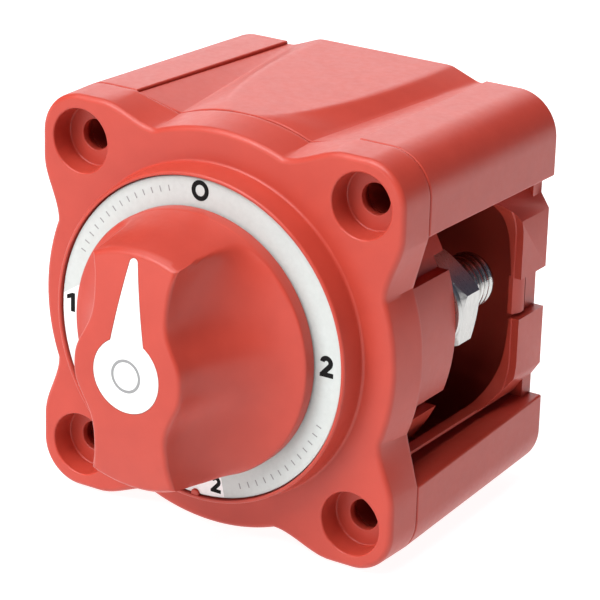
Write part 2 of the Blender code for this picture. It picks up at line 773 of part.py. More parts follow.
def build_housing_screw(number, x, z, parts, tools, material):
    """Joins the contact housing to the front housing from behind."""
    bm = bmesh.new()
    add_cylinder(bm, SCREW_HEAD_RADIUS, SCREW_SEAT + CLEARANCE, SCREW_HEAD_BACK, x, z, SMALL_ROUND)
    screw = from_bmesh(bm, f"housing_screw_{number}", parts, material)
    shank = bmesh.new()
    add_cylinder(shank, SCREW_SHANK_RADIUS, SCREW_SHANK_END, SCREW_SEAT + PAST, x, z, 16)
    join(screw, from_bmesh(shank, f"housing_screw_shank_{number}", tools))
    return screw


# ------------------------------------------------------------- rear cover

def cover_outline(share):
    """Square body with rails at the corners; share is 0 at the seam, 1 at the rear."""
    half = lerp(HALF_WIDTH, HALF_WIDTH_REAR, share)
    gap = lerp(RAIL_GAP_FRONT, RAIL_GAP_REAR, share)
    centre = half - CORNER_RADIUS
    octant = [(0.0, SIDE_FACE), (gap, SIDE_FACE), (gap, half)]
    octant += arc(centre, centre, CORNER_RADIUS, 90, 45, 5)
    return fourfold(octant)


def window_outline():
    """Cable window, as (across, depth): open to the front, round rear corners."""
    back = WINDOW_BACK - WINDOW_CORNER
    side = WINDOW_HALF - WINDOW_CORNER
    points = [(-WINDOW_HALF, 0.0070), (WINDOW_HALF, 0.0070)]
    points += arc(side, back, WINDOW_CORNER, 0, 90, 6)
    points += arc(-side, back, WINDOW_CORNER, 90, 180, 6)
    return points


def add_window(bm, along_x):
    rings = []
    for end in (-0.040, 0.040):
        ring = []
        for across, depth in window_outline():
            if along_x:
                ring.append((end, plane_y(depth), across))
            else:
                ring.append((across, plane_y(depth), end))
        rings.append(ring)
    add_loft(bm, rings)


def add_rim(bm):
    """Raised trapezoid on the top edge of the rear wall."""
    outline = [(-RIM_FOOT_HALF, SIDE_FACE - PAST), (-RIM_FOOT_HALF, SIDE_FACE),
               (-RIM_FLAT_HALF, RIM_FACE), (RIM_FLAT_HALF, RIM_FACE),
               (RIM_FOOT_HALF, SIDE_FACE), (RIM_FOOT_HALF, SIDE_FACE - PAST)]
    add_prism(bm, outline, RIM_FRONT, BODY_DEPTH)


def add_end_wall(bm):
    """Wall on the top side that closes its two channels at the back."""
    edge = RAIL_GAP_REAR + CLEARANCE
    low = (-edge, END_FRONT, SIDE_FACE - PAST)
    add_box(bm, low, (edge, BODY_DEPTH, END_FACE))


def add_notch(bm):
    """Latch notch in the middle of the raised trapezoid."""
    add_box(bm, (-NOTCH_HALF, WINDOW_BACK - PAST, NOTCH_FACE),
            (NOTCH_HALF, BODY_DEPTH + PAST, RIM_FACE + PAST))


def add_channels(bm):
    """Channels for the skirts of a panel, each between the window lip and a rail."""
    for side in (-1, 1):
        rings = []
        for depth in (0.0070, END_FRONT):
            edge = rail_gap(depth) - 0.00005
            corners_xz = ((CHANNEL_INNER, CHANNEL_FLOOR), (edge, CHANNEL_FLOOR),
                          (edge, RIM_FACE), (CHANNEL_INNER, RIM_FACE))
            rings.append([(side * x, plane_y(depth), z) for x, z in corners_xz])
        add_loft(bm, rings)


def rail_gap(depth):
    """Half the gap between two rails; the moulding draft narrows it to the rear."""
    front = PLATE_DEPTH + CLEARANCE
    return lerp(RAIL_GAP_FRONT, RAIL_GAP_REAR, (depth - front) / (BODY_DEPTH - front))


def build_rear_cover(parts, tools, material):
    front = PLATE_DEPTH + CLEARANCE
    rings = []
    for share, depth in ((0.0, front), (1.0, BODY_DEPTH)):
        rings.append([(x, plane_y(depth), z) for x, z in cover_outline(share)])
    bm = bmesh.new()
    add_loft(bm, rings)
    cover = from_bmesh(bm, "rear_cover", parts, material)
    rims = bmesh.new()
    quarter_turns(rims, add_rim)
    join(cover, from_bmesh(rims, "cover_rims", tools))
    walls = bmesh.new()
    quarter_turns(walls, add_end_wall)
    join(cover, from_bmesh(walls, "cover_end_walls", tools))

    for radius, end in ((COVER_BORE, COVER_BORE_END), (COVER_REAR_BORE, COVER_FLOOR)):
        bore = bmesh.new()
        add_cylinder(bore, radius, 0.0060, end, sides=56)
        cut(cover, from_bmesh(bore, "cover_bore", tools))
    for along_x in (True, False):
        window = bmesh.new()
        add_window(window, along_x)
        cut(cover, from_bmesh(window, "cable_window", tools))
    notches = bmesh.new()
    quarter_turns(notches, add_notch)
    cut(cover, from_bmesh(notches, "latch_notches", tools))
    channels = bmesh.new()
    quarter_turns(channels, add_channels)
    cut(cover, from_bmesh(channels, "panel_channels", tools))
    holes = bmesh.new()
    for sx, sz in corners():
        add_cylinder(holes, HOLE_RADIUS, 0.0060, BODY_DEPTH + PAST,
                     sx * HOLE_OFFSET, sz * HOLE_OFFSET, 20)
    cut(cover, from_bmesh(holes, "mounting_holes", tools))
    bores = bmesh.new()
    for sx, sz in corners():
        add_cylinder(bores, RAIL_BORE, PLATE_DEPTH - PAST, RAIL_BORE_END,
                     sx * HOLE_OFFSET, sz * HOLE_OFFSET, SMALL_ROUND)
    cut(cover, from_bmesh(bores, "rail_bores", tools))
    shade(cover)
    return cover


# ----------------------------------------------------------------- panels

def panel_height(x, share):
    """Outer skin: round at the seam (share 0), a flat-topped ridge at the rear (1)."""
    ridge_half = lerp(0.0005, 0.0131, share)
    foot_half = lerp(VALLEY_X, 0.0185, share)
    edge_half = panel_edge(share)
    ridge = lerp(HALF_WIDTH, PANEL_RIDGE_REAR, share)
    foot = lerp(0.03245, PANEL_FOOT_REAR, share)
    edge = lerp(0.0345, PANEL_FOOT_REAR, share)
    reach = abs(x)
    if reach <= ridge_half:
        return ridge
    if reach <= foot_half:
        fall = (reach - ridge_half) / (foot_half - ridge_half)
        shape = lerp(1 - fall * fall, 1 - fall, share)
        return foot + (ridge - foot) * shape
    return lerp(foot, edge, (reach - foot_half) / (edge_half - foot_half))


def panel_edge(share):
    return lerp(RAIL_GAP_FRONT, RAIL_GAP_REAR, share) - CLEARANCE


def panel_stations(share):
    """Half of the x positions across the panel, from the middle to the edge."""
    ridge_half = lerp(0.0005, 0.0131, share)
    foot_half = lerp(VALLEY_X, 0.0185, share)
    between = [lerp(ridge_half, foot_half, part / 5) for part in range(6)]
    return between + [panel_edge(share)]


def panel_ring(share, skirt_foot, thickness):
    """Cross-section: outer skin, skirts down both edges, then the underside."""
    half = panel_stations(share)
    across = [-x for x in reversed(half)] + half
    outer = [(x, panel_height(x, share)) for x in across]
    inner_edge = panel_edge(share) - PANEL_SKIRT
    inner_half = [min(x, inner_edge - 0.0001 * (7 - i)) for i, x in enumerate(half[:-1])]
    inner_half.append(inner_edge)
    inner_across = [-x for x in reversed(inner_half)] + inner_half
    inner = [(x, panel_height(x, share) - thickness) for x in inner_across]
    foot_left = [(outer[0][0], skirt_foot), (inner[0][0], skirt_foot)]
    foot_right = [(inner[-1][0], skirt_foot), (outer[-1][0], skirt_foot)]
    return outer + list(reversed(foot_right)) + list(reversed(inner)) + list(reversed(foot_left))


def build_panel(name, turn, parts, tools, material):
    """Snap-in panel that closes one window; turn is the angle about Y from the top."""
    front = PLATE_DEPTH + CLEARANCE
    deep = (PANEL_SKIRT_FOOT, PANEL_THICKNESS)
    shallow = (END_FACE + CLEARANCE, PANEL_LIP_THICKNESS)
    rings = []
    for depth, (skirt, thickness) in (
            (front, deep), (0.0140, deep), (0.0200, deep), (0.0270, deep), (0.0340, deep),
            (PANEL_SKIRT_END - 0.0002, deep), (PANEL_SKIRT_END, shallow),
            (0.0450, shallow), (BODY_DEPTH, shallow)):
        share = (depth - front) / (BODY_DEPTH - front)
        ring = panel_ring(share, skirt, thickness)
        rings.append([(x, plane_y(depth), z) for x, z in ring])
    bm = bmesh.new()
    add_loft(bm, rings)
    rotate_about_y(bm, turn)
    panel = from_bmesh(bm, name, parts, material)
    tongue = bmesh.new()
    add_box(tongue, (-NOTCH_HALF + CLEARANCE, 0.0450, NOTCH_FACE + CLEARANCE),
            (NOTCH_HALF - CLEARANCE, BODY_DEPTH - CLEARANCE, 0.0345))
    rotate_about_y(tongue, turn)
    join(panel, from_bmesh(tongue, name + "_tongue", tools))
    shade(panel, 20)
    return panel


def rotate_about_y(bm, turn):
    matrix = Matrix.Rotation(turn, 3, "Y")
    bmesh.ops.rotate(bm, verts=bm.verts, cent=(0, 0, 0), matrix=matrix)


# ------------------------------------------------------------------ build

def main():
    clear_scene()
    parts = make_collection(NAME)
    tools = make_collection(NAME + "_cutters")
    red = make_material("red_plastic", (0.70, 0.075, 0.05), 0.42)
    white = make_material("white_print", (0.86, 0.86, 0.84), 0.45)
    black = make_material("black_nylon", (0.03, 0.03, 0.035), 0.5)
    copper = make_material("copper", (0.72, 0.36, 0.22), 0.35, 1.0)
    tin = make_material("tin_plate", (0.74, 0.74, 0.72), 0.3, 1.0)
    steel = make_material("stainless_steel", (0.62, 0.62, 0.63), 0.3, 1.0)
    rubber = make_material("rubber", (0.02, 0.02, 0.02), 0.7)

    build_front_housing(parts, tools, red)
    build_label_ring(parts, tools, white)
    build_gasket(parts, tools, rubber)
    build_knob(parts, tools, red)
    build_pointer(parts, tools, white)
    build_knob_screw(parts, tools, steel)
    build_rotor(parts, tools, black)
    build_o_ring(parts, rubber)
    build_detent_spring(parts, tools, steel)
    build_bridge(parts, tools, copper)
    build_contact_spring(parts, steel)
    build_contact_housing(parts, tools, red)
    for label, x, z in terminals():
        build_stud(label, x, z, parts, tools, tin)
        build_washer(label, x, z, parts, tools, steel)
        build_nut(label, x, z, parts, tools, steel)
    for number, (sx, sz) in enumerate(corners(), start=1):
        build_housing_screw(number, sx * SCREW_OFFSET, sz * SCREW_OFFSET, parts, tools, steel)
    build_rear_cover(parts, tools, red)
    build_panel("top_panel", 0.0, parts, tools, red)
    build_panel("left_panel", -math.pi / 2, parts, tools, red)
    build_panel("bottom_panel", math.pi, parts, tools, red)

    for tool in tools.objects:
        tool.hide_render = True
        tool.display_type = "WIRE"


main()
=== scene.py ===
"""Battery selector switch: the visual model, its materials and its studio.

Lengths are in millimetres, except in the materials and the studio, which use metres.
A depth is measured back (+Y) from the face of the front plate, so pieces that stand
in front of the plate have negative depths.
"""
import math

import bmesh
import bpy
from mathutils import Matrix, Vector


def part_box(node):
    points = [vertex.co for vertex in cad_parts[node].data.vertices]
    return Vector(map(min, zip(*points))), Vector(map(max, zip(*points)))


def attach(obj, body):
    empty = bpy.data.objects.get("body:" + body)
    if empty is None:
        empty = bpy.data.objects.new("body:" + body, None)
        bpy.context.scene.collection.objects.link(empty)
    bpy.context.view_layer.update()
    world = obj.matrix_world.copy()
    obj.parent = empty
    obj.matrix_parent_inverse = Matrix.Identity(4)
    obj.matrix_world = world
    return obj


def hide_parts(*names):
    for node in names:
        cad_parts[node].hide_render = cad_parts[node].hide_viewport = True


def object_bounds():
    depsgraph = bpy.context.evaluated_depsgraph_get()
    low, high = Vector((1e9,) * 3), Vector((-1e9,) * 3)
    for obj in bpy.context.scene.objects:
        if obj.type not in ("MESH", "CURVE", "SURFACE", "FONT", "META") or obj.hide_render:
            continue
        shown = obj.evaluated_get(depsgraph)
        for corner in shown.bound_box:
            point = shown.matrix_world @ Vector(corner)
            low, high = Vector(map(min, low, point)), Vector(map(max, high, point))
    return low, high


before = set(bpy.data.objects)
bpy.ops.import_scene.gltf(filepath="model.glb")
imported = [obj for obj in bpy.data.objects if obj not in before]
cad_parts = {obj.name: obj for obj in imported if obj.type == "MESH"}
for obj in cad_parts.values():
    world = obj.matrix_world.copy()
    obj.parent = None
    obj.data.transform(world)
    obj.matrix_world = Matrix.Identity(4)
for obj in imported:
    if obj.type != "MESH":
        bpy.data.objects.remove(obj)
CAD_LOW, CAD_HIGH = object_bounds()

FIXED = "housing"
TURNING = "knob_and_rotor"
MM = 0.001
REAR_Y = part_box("rear_cover")[1].y      # rear mounting face
BODY_DEPTH = 51.0                       # plate face to rear mounting face
PLATE_BACK = 7.75
SEAM_GAP = 0.26                         # gap between the plate and what is behind it

# Front plate
HALF_WIDTH = 34.8
CORNER_RADIUS = 7.5
PLATE_ROUND = 1.0                       # rounding of the front edge
SEAM_ROUND = 0.28
LOBE_DRAFT = 0.1                        # a lobe is this much smaller at the face
LOBE_SWOOP = 10.8                       # reach of the curve from a valley up to a lobe
FACE_ARC = 34.05                        # radius of the round sides, next to the face
FACE_VALLEY = 12.2                      # where the round side ends, next to the face
SEAM_VALLEY = 12.5                      # and next to the seam
SHOULDER_X = 21.2
HOLE_OFFSET = 26.93
HOLE_RADIUS = 2.6
BORE_RADIUS = 5.4
BORE_DEPTH = 4.4
FLOOR_BACK = 5.6                        # back of the thin floor that a screw's head bears on

# Behind the plate's face
STEM_HOLE = 6.5
CHAMBER_RADIUS = 20.0
CHAMBER_FRONT = -1.0
SPIGOT_BORE = 23.0
SPIGOT_SEAT = 2.4

# Collar, label ring and key
COLLAR_BASE = 28.3
COLLAR_CREST = 27.95
COLLAR_TOP = -4.9
COLLAR_FILLET = 0.5
COLLAR_ROUND = 0.4
RECESS_RADIUS = 27.3
RECESS_FLOOR = -3.35
RING_OUTER = 27.1
RING_INNER = 15.5
RING_FRONT = -4.35
RING_BACK = -3.65
KEY_RADIUS = 0.8
KEY_OFFSET = 27.1
KEY_SLACK = 0.22

# Knob
KNOB_RADIUS = 22.4
KNOB_TIP_RADIUS = 20.0                  # the ends of the grip, at its face
KNOB_BACK = -4.65
KNOB_RIM = -7.2
KNOB_FRONT = -24.2
KNOB_DOME = 0.0057                      # the face falls back by this times z squared
GRIP_WAIST = 6.9
GRIP_BULGE = 3.4
GRIP_BULGE_REACH = 6.4
GRIP_FLARE = 1.5
GRIP_END = 19.0
KNOB_ROUND = 0.75                       # rounding of the grip's edge
SOCKET_HALF = 4.3                       # square socket for the rotor's stem
SOCKET_FRONT = -17.3
KNOB_SCREW_WELL = 3.6
KNOB_SCREW_SEAT = -19.5
KNOB_SCREW_HOLE = 1.9
POINTER_HUB = 6.2
POINTER_ROOT = 3.1
POINTER_TIP = 0.75
POINTER_LENGTH = 18.9

# Rear cover and panels
HALF_WIDTH_REAR = 33.8
RAIL_BORE = 3.6                         # wider than the screw's hole, up to the rear wall
RAIL_BORE_END = 48.0
RAIL_GAP_FRONT = 21.25
RAIL_GAP_REAR = 19.8
SIDE_FACE = 30.2
WINDOW_HALF = 18.3
WINDOW_BACK = 42.4
WINDOW_CORNER = 7.3
WINDOW_STEP = 31.85                     # the window narrows a little inside this plane
RIM_FRONT = 35.0
RIM_FACE = 33.1
RIM_FLAT = 14.0
RIM_FOOT = 18.4
END_FACE = 31.5                         # side of the wall behind the channels
END_FRONT = 48.0
PANEL_GAP = 0.09
RIDGE_HALF = 13.1                       # flat ridge of a panel, at the rear
RIDGE_REAR = 35.33
FOOT_HALF = 18.5                        # foot of the ridge's slopes, at the rear
FOOT_REAR = 33.3
FOOT_FRONT = 32.45
EDGE_FRONT = 34.5                       # height of a panel's edge at the seam
PANEL_STEP = 39.4                       # in front of here a panel is thicker, with deep skirts
CREASE_ROUND = 0.6
NOTCH_HALF = 3.6
NOTCH_FACE = 31.3
CAVITY_RADIUS = 31.4
CAVITY_CORNER = 2.4                     # the cavity reaches this much further at its corners
CAVITY_END = 48.5
GROOVE_INNER = 18.55
GROOVE_FLOOR = 27.5

# Contact housing
BLOCK_BACK = 22.9
BLOCK_RADIUS = 31.9
BLOCK_CHAMBER = 20.5
BLOCK_FLOOR = 18.0                      # end of the chamber
SPIGOT_RADIUS = 22.7
SLOT_RADIUS = 29.9                      # floor of the slots beside each arm
SLOT_INNER = 10.5
SLOT_OUTER = 13.55
SCREW_OFFSET = 18.2                     # screws that join the two housings
SCREW_HOLE = 1.3
SCREW_POCKET = 2.6
SCREW_SEAT = 12.0

# Terminals
STUD_RADIUS = 4.76
STUD_PITCH = 25.4 / 16                  # sixteen threads to the inch
THREAD_DEPTH = 1.05
STUD_CHAMFER = 1.1
STUD_END = 41.2
STUD_SLACK = 0.25                       # room round a stud
PAD_BACK = 17.7                         # contact pads at the studs' roots
PAD_THICK = 2.0
PAD_REACH = 28.8
PAD_LOW = -3.8
PAD_HIGH = 8.8
COMMON_PAD_HALF = 5.7
PAD_SLACK = 0.3
WASHER_RADIUS = 8.0
WASHER_THICK = 1.0
NUT_FLATS = 15.5
NUT_HEIGHT = 5.5
TERMINALS = {"1": (-24.5, 2.6), "2": (24.5, 2.6), "common": (0.0, -24.5)}
NUT_TURN = 22                           # degrees from +X to a nut's first corner


# ------------------------------------------------------------ small helpers

def lerp(a, b, share):
    return a + (b - a) * share


def smooth(share):
    share = min(max(share, 0.0), 1.0)
    return share * share * (3 - 2 * share)


def at(x, depth, z):
    """A point in the frame from millimetres behind the plate's face."""
    return Vector((x * MM, REAR_Y + (depth - BODY_DEPTH) * MM, z * MM))


def arc(cx, cz, radius, start, end, steps):
    """Points on an arc; angles in degrees from +X towards +Z."""
    points = []
    for i in range(steps + 1):
        angle = math.radians(start + (end - start) * i / steps)
        points.append((cx + radius * math.cos(angle), cz + radius * math.sin(angle)))
    return points


def fourfold(octant):
    """Closed outline from its points between the top and the upper right diagonal."""
    mirrored = [(z, x) for x, z in reversed(octant)]
    quarter = octant + mirrored[1:-1]
    outline = []
    for _ in range(4):
        outline += quarter
        quarter = [(z, -x) for x, z in quarter]
    return outline


def inset(outline, distance):
    """Moves a clockwise outline inwards by a distance, mitred at its corners."""
    moved = []
    count = len(outline)
    for i, (x, z) in enumerate(outline):
        before = Vector(outline[i - 1])
        here = Vector((x, z))
        after = Vector(outline[(i + 1) % count])
        one = (here - before).normalized()
        two = (after - here).normalized()
        normal = Vector((one.y + two.y, -one.x - two.x))
        mitre = 2 / max(normal.length_squared, 1.0)
        moved.append((x + normal.x * distance * mitre, z + normal.y * distance * mitre))
    return moved


def rounding(radius, steps):
    """(inset, depth) pairs of a quarter round, from the face to the side."""
    pairs = []
    for i in range(steps + 1):
        angle = math.pi / 2 * i / steps
        pairs.append((radius * (1 - math.sin(angle)), radius * (1 - math.cos(angle))))
    return pairs


def loft(bm, rings, caps=True):
    """Skin through rings of points, closed at both ends by a flat face."""
    loops = [[bm.verts.new(point) for point in ring] for ring in rings]
    for one, two in zip(loops, loops[1:]):
        for i in range(len(one)):
            j = (i + 1) % len(one)
            bm.faces.new((one[i], one[j], two[j], two[i]))
    if caps:
        bm.faces.new(list(reversed(loops[0])))
        bm.faces.new(loops[-1])
    return loops


def prism(bm, outline, front, back):
    return loft(bm, [[at(x, depth, z) for x, z in outline] for depth in (front, back)])


def lathe(bm, profile, sides, x=0.0, z=0.0, hollow=False):
    """Solid turned about an axis along Y, from (radius, depth) pairs."""
    rings = []
    for radius, depth in profile:
        circle = arc(x, z, radius, 0, 360, sides)[:-1]
        rings.append([at(px, depth, pz) for px, pz in circle])
    if hollow:
        rings.append(rings[0])
        loops = loft(bm, rings, caps=False)
        bmesh.ops.remove_doubles(bm, verts=loops[0] + loops[-1], dist=1e-7)
    else:
        loft(bm, rings)


def box(bm, low, high):
    """Box between two (x, depth, z) corners."""
    outline = [(low[0], low[2]), (low[0], high[2]), (high[0], high[2]), (high[0], low[2])]
    prism(bm, outline, low[1], high[1])


def turned(bm, build, angle):
    """Runs build(bm) and turns what it adds about the dial's axis."""
    known = set(bm.verts)
    build(bm)
    fresh = [v for v in bm.verts if v not in known]
    bmesh.ops.rotate(bm, verts=fresh, cent=(0, 0, 0), matrix=Matrix.Rotation(angle, 3, "Y"))


def four_sides(bm, build):
    for step in range(4):
        turned(bm, build, step * math.pi / 2)


def corners():
    return [(sx, sz) for sx in (-1, 1) for sz in (-1, 1)]


def solid(bm, name):
    bmesh.ops.recalc_face_normals(bm, faces=bm.faces)
    mesh = bpy.data.meshes.new(name)
    bm.to_mesh(mesh)
    bm.free()
    obj = bpy.data.objects.new(name, mesh)
    bpy.context.scene.collection.objects.link(obj)
    return obj


def bake_modifiers(obj):
    """Replaces the mesh by what its modifiers make of it."""
    graph = bpy.context.evaluated_depsgraph_get()
    mesh = bpy.data.meshes.new_from_object(obj.evaluated_get(graph), depsgraph=graph)
    old = obj.data
    obj.modifiers.clear()
    obj.data = mesh
    bpy.data.meshes.remove(old)
    mesh.name = obj.name


def carve(obj, bm, operation="DIFFERENCE"):
    """Cuts, joins or trims obj by the solid in bm."""
    tool = solid(bm, obj.name + "_tool")
    modifier = obj.modifiers.new("carve", "BOOLEAN")
    modifier.operation = operation
    modifier.object = tool
    modifier.solver = "EXACT"
    bake_modifiers(obj)
    mesh = tool.data
    bpy.data.objects.remove(tool)
    bpy.data.meshes.remove(mesh)


def soften(obj, width, segments, angle):
    """Rounds every sharp edge, as a mould does."""
    modifier = obj.modifiers.new("soften", "BEVEL")
    modifier.width = width * MM
    modifier.segments = segments
    modifier.limit_method = "ANGLE"
    modifier.angle_limit = math.radians(angle)
    modifier.use_clamp_overlap = True
    modifier.miter_outer = "MITER_ARC"
    bake_modifiers(obj)


def clean(obj):
    """Merges points and drops slivers that a cut has left."""
    distance = 0.004 * MM
    bm = bmesh.new()
    bm.from_mesh(obj.data)
    bmesh.ops.remove_doubles(bm, verts=bm.verts, dist=distance)
    bmesh.ops.dissolve_degenerate(bm, dist=distance, edges=bm.edges)
    bm.to_mesh(obj.data)
    bm.free()


def finish(obj, material, body, *nodes, slot=None, angle=32):
    """Shades a piece, gives it its finish and hangs it on its body."""
    mesh = obj.data
    mesh.shade_smooth()
    mesh.set_sharp_from_angle(angle=math.radians(angle))
    modifier = obj.modifiers.new("normals", "WEIGHTED_NORMAL")
    modifier.keep_sharp = True
    modifier.weight = 80
    bake_modifiers(obj)
    obj.data.materials.clear()
    obj.data.materials.append(material)
    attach(obj, body)
    if nodes:
        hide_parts(*nodes)


# ---------------------------------------------------------------- materials

NOISE_LOW = 0.3                         # most of a noise texture's values lie between these
NOISE_HIGH = 0.7


class Nodes:
    """Short hand for wiring a material."""

    def __init__(self, name):
        self.material = bpy.data.materials.new(name)
        self.material.use_nodes = True
        self.tree = self.material.node_tree
        self.shader = self.tree.nodes["Principled BSDF"]
        self.place = self.tree.nodes.new("ShaderNodeTexCoord").outputs["Object"]

    def noise(self, scale, detail, rough=0.5):
        node = self.tree.nodes.new("ShaderNodeTexNoise")
        node.inputs["Scale"].default_value = scale
        node.inputs["Detail"].default_value = detail
        node.inputs["Roughness"].default_value = rough
        self.tree.links.new(self.place, node.inputs["Vector"])
        return node.outputs["Fac"]

    def stretch(self, scale):
        node = self.tree.nodes.new("ShaderNodeMapping")
        node.inputs["Scale"].default_value = scale
        self.tree.links.new(self.place, node.inputs["Vector"])
        self.place = node.outputs["Vector"]

    def ramp(self, factor, low, high):
        node = self.tree.nodes.new("ShaderNodeValToRGB")
        node.color_ramp.elements[0].position = NOISE_LOW
        node.color_ramp.elements[0].color = (*low, 1.0)
        node.color_ramp.elements[1].position = NOISE_HIGH
        node.color_ramp.elements[1].color = (*high, 1.0)
        self.tree.links.new(factor, node.inputs["Fac"])
        return node.outputs["Color"]

    def span(self, factor, low, high):
        node = self.tree.nodes.new("ShaderNodeMapRange")
        node.inputs["From Min"].default_value = NOISE_LOW
        node.inputs["From Max"].default_value = NOISE_HIGH
        node.inputs["To Min"].default_value = low
        node.inputs["To Max"].default_value = high
        self.tree.links.new(factor, node.inputs["Value"])
        return node.outputs["Result"]

    def bump(self, height, distance, strength, under=None):
        node = self.tree.nodes.new("ShaderNodeBump")
        node.inputs["Strength"].default_value = strength
        node.inputs["Distance"].default_value = distance
        self.tree.links.new(height, node.inputs["Height"])
        if under is not None:
            self.tree.links.new(under, node.inputs["Normal"])
        return node.outputs["Normal"]

    def feed(self, socket, output):
        self.tree.links.new(output, self.shader.inputs[socket])

    def fix(self, socket, value):
        self.shader.inputs[socket].default_value = value


def plastic(name, dark, light, roughness, grain=0.000012):
    """Moulded plastic: spark-eroded grain, slight waviness and mottling."""
    nodes = Nodes(name)
    nodes.feed("Base Color", nodes.ramp(nodes.noise(260, 4), dark, light))
    nodes.feed("Roughness", nodes.span(nodes.noise(900, 3), roughness - 0.03, roughness + 0.03))
    wave = nodes.bump(nodes.noise(90, 1), 0.00006, 0.35)
    nodes.feed("Normal", nodes.bump(nodes.noise(5200, 2, 0.6), grain, 0.55, wave))
    nodes.fix("Specular IOR Level", 0.36)
    return nodes.material


def metal(name, dark, light, roughness, stretch=(1, 1, 1)):
    """Plated or turned metal with fine marks, which a stretch draws out along one direction."""
    nodes = Nodes(name)
    nodes.stretch(stretch)
    nodes.feed("Base Color", nodes.ramp(nodes.noise(420, 3), dark, light))
    nodes.feed("Roughness", nodes.span(nodes.noise(1500, 3), roughness - 0.04, roughness + 0.05))
    nodes.feed("Normal", nodes.bump(nodes.noise(3800, 2), 0.000003, 0.25))
    nodes.fix("Metallic", 1.0)
    return nodes.material


def ink(name, colour, roughness, gloss=0.4):
    """Printed ink: a little uneven in gloss and coverage."""
    nodes = Nodes(name)
    lighter = tuple(min(part * 1.06 + 0.004, 1.0) for part in colour)
    nodes.feed("Base Color", nodes.ramp(nodes.noise(1400, 3), colour, lighter))
    nodes.feed("Roughness", nodes.span(nodes.noise(2600, 2), roughness - 0.05, roughness + 0.05))
    nodes.feed("Normal", nodes.bump(nodes.noise(6500, 2), 0.000004, 0.4))
    nodes.fix("Specular IOR Level", gloss)
    return nodes.material


RED = plastic("red_plastic", (0.42, 0.044, 0.0265), (0.45, 0.049, 0.0295), 0.38)
LABEL = ink("label_grey", (0.49, 0.525, 0.505), 0.38)
LABEL_WHITE = ink("label_white", (0.80, 0.80, 0.79), 0.38)
BLACK_INK = ink("black_ink", (0.004, 0.004, 0.004), 0.7, 0.12)
GREY_INK = ink("grey_ink", (0.25, 0.25, 0.25), 0.5)
POINTER_WHITE = plastic("white_plastic", (0.78, 0.78, 0.76), (0.82, 0.82, 0.80), 0.4, 0.000006)
STEEL = metal("stainless_steel", (0.46, 0.455, 0.44), (0.54, 0.53, 0.51), 0.30, (1, 6, 1))
TIN = metal("tin_plate", (0.50, 0.495, 0.48), (0.58, 0.57, 0.55), 0.22)
COPPER = metal("copper", (0.66, 0.32, 0.2), (0.76, 0.4, 0.26), 0.32)
BLACK = plastic("black_nylon", (0.02, 0.02, 0.022), (0.03, 0.03, 0.033), 0.5)
RUBBER = plastic("rubber", (0.012, 0.012, 0.012), (0.02, 0.02, 0.02), 0.72, 0.00002)


# ------------------------------------------------------------ front housing

def plate_octant(share):
    """Side of the plate from the middle of the top to a lobe; share is 0 at the face."""
    radius = lerp(FACE_ARC, HALF_WIDTH, share)
    valley = lerp(FACE_VALLEY, SEAM_VALLEY, share)
    lobe = lerp(CORNER_RADIUS - LOBE_DRAFT, CORNER_RADIUS, share)
    centre = HALF_WIDTH - CORNER_RADIUS
    points = arc(0, 0, radius, 90, 90 - math.degrees(math.asin(valley / radius)), 22)
    foot = points[-1][1]
    steps = [lerp(valley, SHOULDER_X, i / 14) for i in range(1, 15)]
    steps += [lerp(SHOULDER_X, centre, i / 5) for i in range(1, 5)]
    for x in steps:
        swoop = lerp(foot, centre + lobe, smooth((x - valley) / LOBE_SWOOP))
        straight = lerp(foot, centre + lobe, min((x - valley) / (SHOULDER_X - valley), 1.0))
        points.append((x, lerp(swoop, straight, share)))
    return points + arc(centre, centre, lobe, 90, 45, 12)


def plate_blank():
    rings = []
    face = fourfold(plate_octant(0.0))
    for shrink, depth in rounding(PLATE_ROUND, 7):
        rings.append([at(x, depth, z) for x, z in inset(face, shrink)])
    for step in range(1, 6):
        depth = PLATE_ROUND + 1.2 * step
        share = (depth - PLATE_ROUND) / (PLATE_BACK - PLATE_ROUND)
        rings.append([at(x, depth, z) for x, z in fourfold(plate_octant(share))])
    seam = fourfold(plate_octant(1.0))
    for shrink, rise in reversed(rounding(SEAM_ROUND, 3)):
        rings.append([at(x, PLATE_BACK - rise, z) for x, z in inset(seam, shrink)])
    bm = bmesh.new()
    loft(bm, rings)
    return solid(bm, "front_housing_shell")


def collar_profile():
    """Turned skin of the collar: fillet at its foot, draft, rounded crest."""
    root = 2.0                          # the collar's solid starts this deep in the plate
    profile = [(CHAMBER_RADIUS, root), (COLLAR_BASE + 0.8, root), (COLLAR_BASE + 0.62, 0.03)]
    profile += [(COLLAR_BASE + out, -up) for out, up in rounding(COLLAR_FILLET, 5)]
    profile += [(COLLAR_CREST - inward, COLLAR_TOP + down) for down, inward in rounding(COLLAR_ROUND, 6)]
    return profile


def recess_cutter(bm):
    """Recess for the label ring, with a rounded mouth."""
    mouth = 0.16
    profile = [(RECESS_RADIUS + mouth, COLLAR_TOP - 1.0)]
    profile += [(RECESS_RADIUS + out, COLLAR_TOP + down) for out, down in rounding(mouth, 3)]
    profile.append((RECESS_RADIUS, RECESS_FLOOR))
    lathe(bm, profile, 180)


